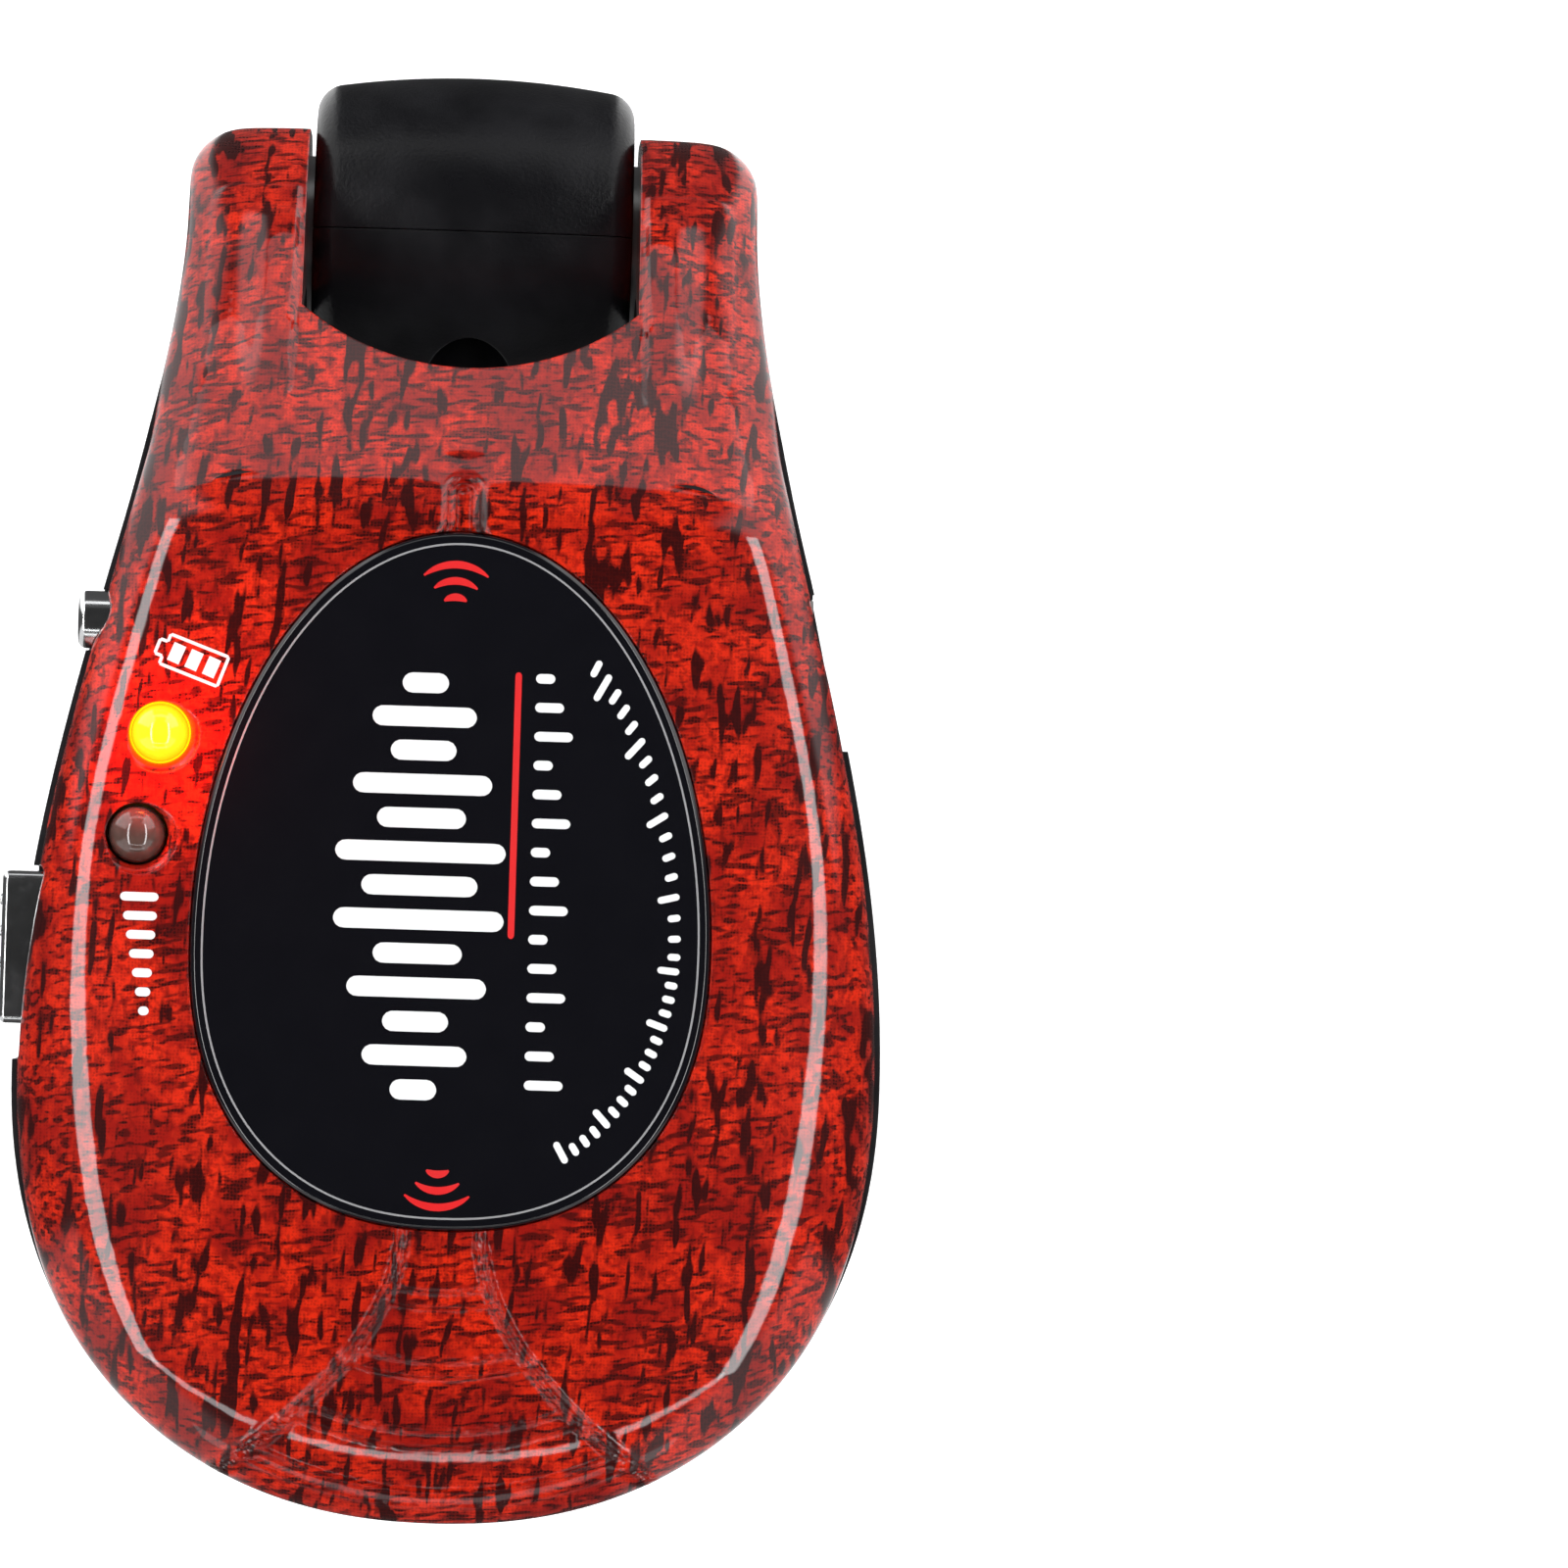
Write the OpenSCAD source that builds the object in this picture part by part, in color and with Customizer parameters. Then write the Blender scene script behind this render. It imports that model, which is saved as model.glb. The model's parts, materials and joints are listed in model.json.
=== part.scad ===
// Hinged jack-plug radio transmitter for an electric guitar.
// Millimetres. The origin is on the plug's axis where the sleeve leaves the collar.
// +Z runs up the plug towards the hinge, +Y towards the hinge end of the housing, X across it.

/* [Housing] */
// Widest half-width of the housing
body_half_w = 22.6; // [21:0.1:24]
// Length of the round end, from the widest section to its tip
round_end = 23.2; // [22:0.1:25]
// Half-width across the two hinge ears
ear_half_w = 15.2; // [14.6:0.1:15.6]
// Crest height of the front above the hinge axis
crest_h = 30.3; // [29.5:0.1:31.5]
// Height of the joint line at the wide end above the hinge axis
joint_h = 24.4; // [24:0.1:25]
// Height of the flat back above the hinge axis, at the hinge end
back_h = 10.6; // [10:0.1:11]
// Wall thickness of both shells
wall = 1.8; // [1.5:0.1:2]

/* [Hinge] */
// Height of the hinge axis above the plug's shoulder
hinge_z = 23.1; // [22.5:0.1:24]
// Half-width of the knuckle
knuckle_half_w = 8.6; // [8:0.1:8.7]
// Largest radius of the crowned knuckle
knuckle_r = 8.8; // [8.4:0.1:9.2]
// Distance from the centre plane to each ear's inner face
ear_gap_half = 8.9; // [8.9:0.05:9.2]
// Radius of the hollow hinge bushes
bush_r = 3; // [2.6:0.1:3]
// Running clearance of each bush in the knuckle
bush_clear = 0.05; // [0.02:0.01:0.1]

/* [Jack plug] */
// Radius of the plug's sleeve, a quarter of an inch across
sleeve_r = 3.175; // [3.15:0.005:3.2]
// Length of the sleeve outside the collar
sleeve_l = 22.7; // [22:0.1:24]
// Overall length of the plug outside the collar
plug_l = 33; // [32:0.1:34]
// Largest radius of the collar
collar_r = 6.7; // [6.6:0.1:7]
// Length of the collar
collar_l = 13.8; // [13:0.1:14.5]

/* [Badge and lights] */
// Half-width of the egg-shaped badge
badge_half_w = 13.44; // [12:0.1:14]
// Height of the badge above the shell
badge_proud = 0.35; // [0.1:0.05:0.6]
// Radius of the two indicator lights
led_r = 1.5; // [1.4:0.05:1.6]

/* [Controls] */
// Travel of the power slider
slider_travel = 1.6; // [1:0.1:1.7]

/* [Hidden] */

$fn = 48;
eps = 0.01;
long = 200;

// ---- Housing outline: heights are above the hinge axis ----
cavity_end_y = -9.7;
waist_y = -45;            // the widest section
ear_end_y = 5.4;          // flat end of the ears
ear_corner = 3;           // rounding of the ears' outer edges
ear_lug_y = 0.4;          // centre and radius of the ears' round ends
ear_lug_z = 0.4;
ear_lug_r = 5;
flare = body_half_w - ear_half_w;
plan_power = 2.2;
rim_power = 3.5;
bowl = 0.235;             // how much the back draws in
back_slope = 0.0305;
fillet_r = 4;
fillet_y = ear_lug_y - ear_lug_r - fillet_r;

function smin(a, b, e) = (a + b) / 2 - sqrt(pow((a - b) / 2, 2) + e * e);
function unit(v) = min(1, max(0, v));

// Half-width of the widest outline at a station, taken in by o
function half_w(y, o) =
    y < waist_y ? (body_half_w - o) *
        pow(unit(1 - pow((waist_y - y) / (round_end - o), plan_power)), 1 / plan_power) :
    y < 0 ? ear_half_w - o + flare * pow(sin(90 * y / waist_y), 1.7) :
    y < ear_end_y - ear_corner ? ear_half_w - o :
    ear_half_w - o - ear_corner + sqrt(max(0, pow(ear_corner, 2) -
        pow(y - ear_end_y + ear_corner, 2)));

// Crest line before the round end rolls off: a slow rise, then a steep nose over the ears
function crest(y) =
    smin(crest_h - 0.155 * (sqrt(pow(y + 52, 2) + 16) - 4), crest_h - 4.3 - 0.7 * (y + 16.6), 0.5)
    - (y < -1.1 ? 0 : 4 * (1 - sqrt(max(0, 1 - pow((y + 1.1) / 6.5, 2)))));
function shoulder(y) = smin(joint_h, crest(y) - 3.4, 0.4);
function roll_off(y, o) = y > waist_y ? 1 :
    pow(unit(1 - pow((waist_y - y) / (round_end - o), plan_power)), 1 / rim_power);
function front_top(y, o) = shoulder(y) + (crest(y) - o - shoulder(y)) * roll_off(y, o);

// Height of the front surface at any point
function front_z(x, y) = shoulder(y) + (front_top(y, 0) - shoulder(y)) *
    pow(unit(1 - pow(abs(x) / half_w(y, 0), plan_power)), 1 / rim_power);

function back_plane(y) = back_h + back_slope * (y + 10);
function back_z(y) =
    y < fillet_y ? back_plane(y) :
    y < ear_lug_y - ear_lug_r ? back_plane(fillet_y) - fillet_r +
        sqrt(max(0, fillet_r * fillet_r - pow(y - fillet_y, 2))) :
    ear_lug_z - sqrt(max(0, ear_lug_r * ear_lug_r - pow(y - ear_lug_y, 2)));

// Bowl of the rear half: s runs from the shoulder, 0, to the back, 1
function draw_in(y) = y < -12 ? bowl : y < -5 ? bowl * (-5 - y) / 7 : 0;
function bowl_end(y, o) = y > waist_y ? 1 :
    min(1, sqrt(unit((1 - (waist_y - y) / (round_end - o)) / bowl)));
function side_x(y, s, o) =
    y > waist_y ? half_w(y, o) * (1 - draw_in(y) * s * s) :
    (body_half_w - o) * (1 - bowl * s * s) *
        pow(unit(1 - pow((waist_y - y) / ((round_end - o) * (1 - bowl * s * s)), plan_power)),
            1 / plan_power);
function bend(a, b, c, t) = (1 - t) * (1 - t) * a + 2 * t * (1 - t) * b + t * t * c;

top_n = 10;
side_n = 6;
corner_n = 4;

// Right half of one section, from the crest round to the middle of the back
function half_section(y, o) =
    let (w = half_w(y, o), zs = shoulder(y), h = front_top(y, o) - zs, e = bowl_end(y, o),
         zb = zs - (zs - back_z(y) - o) * e,
         deep = zs - zb,
         r = min(y < fillet_y ? 1.4 : ear_corner, 0.45 * deep),
         s1 = e * (1 - r / deep),
         a = [side_x(y, s1, o), zs - deep * s1 / e],
         b = [side_x(y, e, o), zb],
         c = [max(0.05, side_x(y, e, o) - r), zb])
    concat(
        [for (i = [0:top_n]) let (t = 90 * i / top_n)
            [w * pow(sin(t), 2 / plan_power), zs + h * pow(cos(t), 2 / rim_power)]],
        [for (i = [1:side_n - 1]) let (s = s1 * i / side_n)
            [side_x(y, s, o), zs - deep * s / e]],
        [for (i = [0:corner_n]) bend(a, b, c, i / corner_n)],
        [[0, zb]]);

function ring(y, o) = let (h = half_section(y, o), n = len(h))
    [for (i = [0:2 * n - 3]) let (k = i < n ? i : 2 * n - 2 - i, side = i < n ? 1 : -1)
        [side * h[k][0], y, hinge_z + h[k][1]]];

module loft(rings) {
    n = len(rings[0]);
    m = len(rings);
    polyhedron(points = [for (r = rings) for (p = r) p],
        faces = concat([[for (i = [0:n - 1]) i]],
            [for (j = [0:m - 2]) for (i = [0:n - 1]) let (k = (i + 1) % n)
                [j * n + i, (j + 1) * n + i, (j + 1) * n + k]],
            [for (j = [0:m - 2]) for (i = [0:n - 1]) let (k = (i + 1) % n)
                [j * n + i, (j + 1) * n + k, j * n + k]],
            [[for (i = [n - 1:-1:0]) (m - 1) * n + i]]));
}

// Stations crowd together where the outline turns quickly
round_stations = [for (a = [88, 84, 78, 71, 63, 54, 44, 33, 21, 9]) sin(a)];
outer_stations = concat([for (s = round_stations) waist_y - round_end * s],
    [-44, -39, -34, -29, -24, -20, -16.5, -13, -10.5, fillet_y, -7.6, -6.4, -5.4, -4.85,
     -4.601, -4.59, -4.2, -3, -1.2, 0.4, 1.8, 3, 4, 4.7, 5.1, 5.32, ear_end_y]);
inner_stations = concat([for (s = round_stations) waist_y - (round_end - wall) * s],
    [-44, -38, -32, -26, -20, -15, -12, cavity_end_y]);

module housing_block() { loft([for (y = outer_stations) ring(y, 0)]); }
module housing_cavity() { loft([for (y = inner_stations) ring(y, wall)]); }

// Room for the knuckle: straight cheeks and an arched rear wall
notch_r = 14;
notch_y = -7.8;
module knuckle_room() {
    intersection() {
        translate([0, notch_y + notch_r, -10]) cylinder(r = notch_r, h = long, $fn = 120);
        translate([-ear_gap_half, -20, -10]) cube([2 * ear_gap_half, 60, long]);
    }
}

// Joint line between the shells, seen from the side
joint_points = [[-80, joint_h], [-45, joint_h], [-36, 24.1], [-28, 23.3], [-20.4, 22],
                [-13.4, 19.6], [-8, 17], [-5.4, 13.8], [-4.1, 10], [-3.2, 5], [-2.6, 0], [12, 0]];
module above_joint() {
    translate([-long / 2, 0, hinge_z]) rotate([90, 0, 90]) linear_extrude(long)
        polygon(concat(joint_points, [[12, 60], [-80, 60]]));
}

// ---- Places of the fixings and boards, heights above the hinge axis ----
board_top = 20.6;
board_t = 1;
shell_screw_at = [[-11.6, -16.2], [11.6, -16.2], [-13.5, -54], [13.5, -54]];
board_screw_at = [[0, -15.2], [0, -62]];
boss_r = 2.5;
post_r = 1.9;
boss_joint = 19.4;
screw_r = 1;
screw_head_r = 1.9;
screw_head_h = 1.4;
head_depth = 2.2;
pilot_top = 22.6;
washer_r = 4.3;
washer_t = 0.85;
bush_in = 4.6;            // inner end of each bush from the centre plane
bush_out = 11.2;          // start of its flange
bush_flange_r = 4.1;
bush_flange_t = 1;
bush_bore = 1.3;
lead_r = 0.6;
// Channel for the lead inside one ear: start y and z, end y and z of each stretch
lead_way_w = 3.1;
lead_way = [[-3, -1.4, 1.2, 10.8], [-4.3, 10, -0.9, 12.8], [cavity_end_y - 1, 11.9, -2.3, 14.1]];

module at_hinge() { translate([0, 0, hinge_z]) children(); }
module both_sides() { children(); mirror([1, 0, 0]) children(); }
module x_rod(r, x0, x1) { translate([x0, 0, 0]) rotate([0, 90, 0]) cylinder(r = r, h = x1 - x0); }
module z_rod(r, z0, z1) { translate([0, 0, z0]) cylinder(r = r, h = z1 - z0); }

// Seats that the bushes and washers leave in the ears, with the lead's way up one ear
module ear_seats() {
    at_hinge() {
        both_sides() {
            x_rod(bush_r, ear_gap_half - 1, bush_out + eps);
            x_rod(bush_flange_r, bush_out, bush_out + bush_flange_t);
            x_rod(washer_r, ear_gap_half - 1, ear_gap_half + washer_t - 0.28);
        }
        for (c = lead_way) translate([10.6, c[0], c[1]]) cube([lead_way_w, c[2] - c[0], c[3] - c[1]]);
    }
}

// ---- Control openings ----
slider_y0 = -34.9;        // hinge end of the cap
slider_l = 7.9;
slider_z0 = 21.4;
slider_h = 4.2;
slot_clear = 0.12;
button_y = -21.7;
button_z = 22;
button_w = 3;
button_h = 4;
usb_y = -23.3;
usb_w = 7.5;
usb_h = 2.5;
usb_face = 18.4;

module oval(w, h) { // a rounded slot seen along X: w along Y, h along Z
    hull() for (s = [-1, 1]) translate([0, s * (h - w) / 2]) circle(d = w);
}
module oval_bar(w, h, x0, x1) {
    translate([x0, button_y, hinge_z + button_z]) rotate([90, 0, 90])
        linear_extrude(x1 - x0) oval(w, h);
}
module control_openings() {
    translate([-30, slider_y0 - slider_l - slider_travel - 0.2, hinge_z + slider_z0 - slot_clear])
        cube([12, slider_l + slider_travel + 0.5, slider_h + 2 * slot_clear]);
    oval_bar(button_w + 2 * slot_clear, button_h + 2 * slot_clear, -30, -16);
    translate([usb_face, usb_y - 4.1, hinge_z + board_top - 0.5]) cube([12, 8.2, 3.5]);
    translate([14, usb_y - usb_w / 2 - 0.1, hinge_z + board_top - 0.1])
        cube([10, usb_w + 0.2, usb_h + 0.2]);
}

// ---- Badge: an egg of two half outlines that follows the front's dome ----
badge_wide_y = -38;
badge_up = 21.4;
badge_down = 14.7;
badge_sink = 0.8;
badge_gap = 0.06;
egg_n = 48;
function egg_point(t, g) = // outline grown by g
    let (c = cos(t), s = sin(t), up = s > 0, p = up ? 2 : 2.3,
         l = (up ? badge_up : badge_down) + g)
    [(badge_half_w + g) * sign(c) * pow(abs(c), 2 / p), l * sign(s) * pow(abs(s), 2 / p)];
egg_rings = [0.25, 0.5, 0.72, 0.88, 0.97, 1];
module egg_solid(g, low, high, edge) { // between two offsets of the front surface
    m = len(egg_rings);
    function p(j, i, up) = let (q = egg_rings[j] * egg_point(360 * i / egg_n, g),
            y = badge_wide_y + q[1], drop = up ? edge * pow(egg_rings[j], 12) : 0)
        [q[0], y, hinge_z + front_z(q[0], y) + (up ? high - drop : low)];
    pts = concat([for (j = [0:m - 1]) for (i = [0:egg_n - 1]) p(j, i, true)],
                 [for (j = [0:m - 1]) for (i = [0:egg_n - 1]) p(j, i, false)],
                 [[0, badge_wide_y, hinge_z + front_z(0, badge_wide_y) + high],
                  [0, badge_wide_y, hinge_z + front_z(0, badge_wide_y) + low]]);
    b = m * egg_n;
    polyhedron(points = pts, faces = concat(
        [for (i = [0:egg_n - 1]) [2 * b, (i + 1) % egg_n, i]],
        [for (i = [0:egg_n - 1]) [2 * b + 1, b + i, b + (i + 1) % egg_n]],
        [for (j = [0:m - 2]) for (i = [0:egg_n - 1]) let (k = (i + 1) % egg_n)
            each [[j * egg_n + i, j * egg_n + k, (j + 1) * egg_n + k],
                  [j * egg_n + i, (j + 1) * egg_n + k, (j + 1) * egg_n + i]]],
        [for (j = [0:m - 2]) for (i = [0:egg_n - 1]) let (k = (i + 1) % egg_n)
            each [[b + j * egg_n + i, b + (j + 1) * egg_n + k, b + j * egg_n + k],
                  [b + j * egg_n + i, b + (j + 1) * egg_n + i, b + (j + 1) * egg_n + k]]],
        [for (i = [0:egg_n - 1]) let (k = (i + 1) % egg_n, t = (m - 1) * egg_n)
            each [[t + i, t + k, b + t + k], [t + i, b + t + k, b + t + i]]]));
}

battery_light_at = [-15.4, -27.5];
signal_light_at = [-16.4, -32.8];
light_proud = 0.45;
light_hole = 0.1;
function light_top(at) = front_z(at[0], at[1]) + light_proud;
module light_hole_at(at) {
    translate([at[0], at[1], hinge_z]) {
        z_rod(led_r + light_hole, board_top, 40);
        translate([0, 0, light_top(at) - light_proud - 0.7])
            cylinder(r1 = led_r + light_hole, r2 = led_r + 1.1, h = 1.6);
    }
}

// ---- Housing pieces ----
module front_posts(tall) { // bosses and posts hang from the front, down past the joint line
    for (p = shell_screw_at) translate([p[0], p[1], hinge_z])
        z_rod(boss_r, boss_joint, tall ? 40 : lookup(p[1] - boss_r, joint_points) + 0.3);
    for (p = board_screw_at) translate([p[0], p[1], hinge_z])
        z_rod(post_r, board_top, tall ? 40 : lookup(p[1] - post_r, joint_points) + 0.3);
}
module front_shell() {
    color("firebrick") difference() {
        union() {
            intersection() { housing_block(); above_joint(); }
            front_posts(false);
        }
        difference() { housing_cavity(); front_posts(true); }
        knuckle_room();
        ear_seats();
        control_openings();
        egg_solid(badge_gap, -badge_sink, 4, 0);
        light_hole_at(battery_light_at);
        light_hole_at(signal_light_at);
        for (p = shell_screw_at) translate([p[0], p[1], hinge_z]) z_rod(screw_r, 10, pilot_top);
        for (p = board_screw_at) translate([p[0], p[1], hinge_z]) z_rod(0.7, 10, board_top + 2);
    }
}

label_half_w = 8.6;
label_y0 = -11;
label_y1 = -58;
label_t = 0.2;
label_corner = 2.5;
module label_solid(t, g) {
    at_hinge() translate([0, 0, back_plane(0)]) rotate([atan(back_slope), 0, 0])
        translate([0, 0, -t]) linear_extrude(t + label_t)
            difference() {
                translate([-label_half_w - g, label_y1 - g])
                    square([2 * (label_half_w + g), label_y0 - label_y1 + 2 * g]);
                for (s = [-1, 1], e = [[label_y0 + g, -1], [label_y1 - g, 1]])
                    translate([s * (label_half_w + g - label_corner), e[0] + e[1] * label_corner])
                        difference() {
                            translate([s > 0 ? 0 : -9, e[1] > 0 ? -9 : 0]) square(9);
                            circle(r = label_corner);
                        }
            }
}

module rear_shell() {
    color("#222226") difference() {
        difference() { housing_block(); above_joint(); }
        difference() {
            housing_cavity();
            for (p = shell_screw_at) translate([p[0], p[1], hinge_z]) z_rod(boss_r, 0, boss_joint);
        }
        knuckle_room();
        ear_seats();
        control_openings();
        label_solid(2, 0.05);
        for (p = shell_screw_at) translate([p[0], p[1], hinge_z]) {
            z_rod(screw_r + 0.15, 0, pilot_top);
            z_rod(screw_head_r + 0.15, 0, back_plane(p[1]) + head_depth);
        }
    }
}

module badge() { color("#101014") egg_solid(0, -badge_sink + 0.04, badge_proud, badge_proud); }
module rear_label() { color("silver") label_solid(0, 0); }

module cross_screw(head_r, head_h, r, l) { // head down, shank up
    difference() {
        union() {
            cylinder(r = head_r, h = head_h);
            cylinder(r = r, h = head_h + l);
        }
        for (a = [0, 90]) rotate([0, 0, a])
            translate([-head_r * 0.55, -0.22, -eps]) cube([head_r * 1.1, 0.44, head_h * 0.55]);
    }
}
module shell_screws() {
    color("dimgray") for (p = shell_screw_at)
        translate([p[0], p[1], hinge_z + back_plane(p[1]) + head_depth - screw_head_h])
            cross_screw(screw_head_r, screw_head_h, screw_r, 9.6);
}

// ---- Electronics ----
board_inset = 4.2;
board_shoulder_y = -18.9;
board_tongue_w = 7.4;
board_tongue_y = -12.9;
module circuit_board() {
    color("darkgreen") translate([0, 0, hinge_z + board_top - board_t]) linear_extrude(board_t)
        difference() {
            union() {
                polygon(let (ys = [for (i = [0:24]) let (a = 90 - i * 90 / 24)
                        waist_y - (round_end - board_inset) * sin(a)],
                    side = concat([for (y = ys) [half_w(y, board_inset), y]],
                        [for (y = [-41, -37, -33, -29, -26, -22, board_shoulder_y])
                            [half_w(y, board_inset), y]]))
                    concat(side, [for (i = [len(side) - 1:-1:1]) [-side[i][0], side[i][1]]]));
                translate([-board_tongue_w, board_shoulder_y - 1])
                    square([2 * board_tongue_w, board_tongue_y - board_shoulder_y + 1]);
            }
            for (p = shell_screw_at) translate(p) circle(r = boss_r + 0.3);
            for (p = board_screw_at) translate(p) circle(r = 0.9);
        }
}
module board_screws() {
    color("silver") for (p = board_screw_at)
        translate([p[0], p[1], hinge_z + board_top - board_t - 0.8]) cross_screw(1.3, 0.8, 0.7, 2.7);
}
module on_board(x, y, size) {
    translate([x - size[0] / 2, y - size[1] / 2, hinge_z + board_top]) cube(size);
}
can_at = [3.5, -44];
can_size = [12, 12, 2];
can_wall = 0.25;
module shield_can() {
    color("silver") difference() {
        on_board(can_at[0], can_at[1], can_size);
        translate([0, 0, -eps]) on_board(can_at[0], can_at[1],
            [can_size[0] - 2 * can_wall, can_size[1] - 2 * can_wall, can_size[2] - can_wall]);
    }
}
module radio_chip() { color("#2a2a2a") on_board(can_at[0], can_at[1], [5, 5, 0.9]); }
module audio_chip() { color("#2a2a2a") on_board(-5.5, -29, [5, 4.4, 1.2]); }
module charger_chip() { color("#2a2a2a") on_board(7.5, -29, [4, 4, 1]); }
module antenna() { color("ivory") on_board(0, -57.5, [8, 2, 1.2]); }

cell_w = 20;
cell_l = 34;
cell_t = 5.4;
cell_y = -41;
cell_z = 12.6;
cell_edge = 1.5;
module battery_cell() {
    color("silver") translate([0, cell_y, hinge_z + cell_z]) linear_extrude(cell_t) {
        square([cell_w - 2 * cell_edge, cell_l], center = true);
        square([cell_w, cell_l - 2 * cell_edge], center = true);
        for (x = [-1, 1], y = [-1, 1])
            translate([x * (cell_w / 2 - cell_edge), y * (cell_l / 2 - cell_edge)]) circle(r = cell_edge);
    }
}
pad_w = 16;
pad_l = 26;
module battery_pad() { // foam tape, wedged by the slope of the back
    y0 = cell_y - pad_l / 2;
    y1 = cell_y + pad_l / 2;
    color("gray") translate([-pad_w / 2, 0, hinge_z]) rotate([90, 0, 90]) linear_extrude(pad_w)
        polygon([[y0, back_plane(y0) + wall], [y1, back_plane(y1) + wall], [y1, cell_z], [y0, cell_z]]);
}

// A round lead swept along its own points
function lead_frame(p, i) = let (n = len(p), a = p[max(0, i - 1)], b = p[min(n - 1, i + 1)])
    (b - a) / norm(b - a);
module lead(p, r, side) {
    n = 8;
    loft([for (i = [0:len(p) - 1]) let (t = lead_frame(p, i), u = cross(t, side) / norm(cross(t, side)),
            v = cross(t, u)) [for (k = [0:n - 1]) p[i] + r * (cos(360 * k / n) * u + sin(360 * k / n) * v)]]);
}
function smooth(p, per) = [for (i = [0:len(p) - 2]) for (k = [0:per - 1]) let (t = k / per,
        a = p[max(0, i - 1)], b = p[i], c = p[i + 1], d = p[min(len(p) - 1, i + 2)])
    0.5 * (2 * b + (c - a) * t + (2 * a - 5 * b + 4 * c - d) * t * t
        + (3 * b - a - 3 * c + d) * t * t * t)];
function whole(p, per) = concat(smooth(p, per), [p[len(p) - 1]]);

module battery_leads() {
    for (s = [-1, 1]) color(s > 0 ? "red" : "#222222") translate([0, 0, hinge_z])
        lead(whole([[s * 2, -24, 15.2], [s * 2, -22.9, 15.4], [s * 2, -21.9, 16.6],
                    [s * 2, -21.6, 18.2], [s * 2, -21.6, 19.6]], 3), 0.5, [1, 0, 0]);
}
module board_lead() {
    color("#333333") translate([0, 0, hinge_z])
        lead(whole([[6.1, 0, 0], [9, 0, 0], [11.6, 0, 0], [12.7, 0, 0.35], [13, 0, 1.5], [12.8, 0, 3.2],
                    [12.3, -0.2, 5.4], [12.05, -0.6, 8.4], [12.05, -1.7, 10.9], [12.05, -3.2, 12.4],
                    [12.05, -5.4, 13], [12, -8, 13], [11.6, -10.8, 13.2], [9.6, -13, 14.4],
                    [6.6, -15.2, 16], [5.1, -17.6, 17.4], [4.8, -18.4, 18.7], [4.8, -18.4, 19.5]], 3),
             lead_r, [0, 1, 0.02]);
}

socket_l = 5;
module usb_socket() {
    color("silver") translate([usb_face - socket_l, usb_y - usb_w / 2, hinge_z + board_top])
        difference() {
            cube([socket_l, usb_w, usb_h]);
            translate([1, 0.3, 0.3]) cube([socket_l, usb_w - 0.6, usb_h - 0.6]);
        }
    color("#1c1c1c") translate([usb_face - socket_l + 0.9, usb_y - 2, hinge_z + board_top + 1.35])
        cube([3.4, 4, 0.5]);
}

// ---- Controls ----
switch_x = -17.6;
switch_w = 4;
switch_l = 8.6;
switch_h = 3.5;
lever_w = 1.4;
lever_l = 2;
lever_z = 1.1;
slider_mid = slider_y0 - slider_l / 2;
switch_mid = slider_mid - slider_travel / 2;
plate_x = -19.5;
plate_t = 0.8;
plate_over = 0.6;
slider_face = -23.3;
module slide_switch() {
    color("#8a8a8a") difference() {
        translate([switch_x, switch_mid - switch_l / 2, hinge_z + board_top])
            cube([switch_w, switch_l, switch_h]);
        translate([switch_x - eps, switch_mid - 2.4, hinge_z + board_top + 0.9])
            cube([1.6, 4.8, lever_w + 0.4]);
    }
}
module slider_lever() {
    color("#f0f0f0") translate([plate_x + 0.1, slider_mid - lever_l / 2, hinge_z + board_top + lever_z])
        cube([switch_x - plate_x + 1.2, lever_l, lever_w]);
}
module slider_cap() {
    rib_r = 0.28;
    color("gainsboro") difference() {
        union() {
            translate([slider_face, slider_y0 - slider_l, hinge_z + slider_z0])
                cube([plate_x - slider_face + eps, slider_l, slider_h]);
            translate([plate_x, slider_mid - 5.4, hinge_z + slider_z0 - plate_over])
                cube([plate_t, 10.8, 3.6]);
            for (i = [-1.5:1.5]) translate([slider_face, slider_mid + i * 1.63, hinge_z + slider_z0 + 0.4])
                cylinder(r = rib_r, h = slider_h - 0.8, $fn = 24);
        }
        translate([plate_x - 0.4, slider_mid - lever_l / 2 - 0.1, hinge_z + board_top + lever_z - 0.1])
            cube([plate_t + 1, lever_l + 0.2, lever_w + 0.2]);
    }
}
tact_x = -15.3;
tact_h = 2.2;
plunger_z = 1.1;
flange_x = -16.5;
module button_switch() {
    color("#444444") translate([tact_x, button_y - 2.2, hinge_z + board_top]) difference() {
        cube([3, 4.4, tact_h]);
        translate([-eps, 2.2, plunger_z]) rotate([0, 90, 0]) cylinder(r = 0.85, h = 1.2);
    }
}
module button_plunger() {
    color("ivory") translate([tact_x - 0.6, button_y, hinge_z + board_top + plunger_z])
        rotate([0, 90, 0]) cylinder(r = 0.8, h = 1.2);
}
module button_cap() {
    color("gainsboro") {
        oval_bar(button_w, button_h, -19.9, flange_x);
        translate([flange_x - eps, button_y - 2.1, hinge_z + board_top + 0.1])
            cube([tact_x - 0.6 - flange_x + eps, 4.1, 2.1]);
    }
}
module indicator(at) {
    top = light_top(at);
    translate([at[0], at[1], hinge_z]) {
        z_rod(led_r, board_top + 0.3, top - led_r);
        translate([0, 0, top - led_r]) sphere(r = led_r);
        z_rod(1.8, board_top + 0.3, board_top + 1.2);
        for (s = [-1, 1]) translate([0, s * 0.64, 0]) z_rod(0.22, board_top, board_top + 0.5);
    }
}
module battery_light() { color("yellow") indicator(battery_light_at); }
module signal_light() { color("rosybrown") indicator(signal_light_at); }

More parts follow.
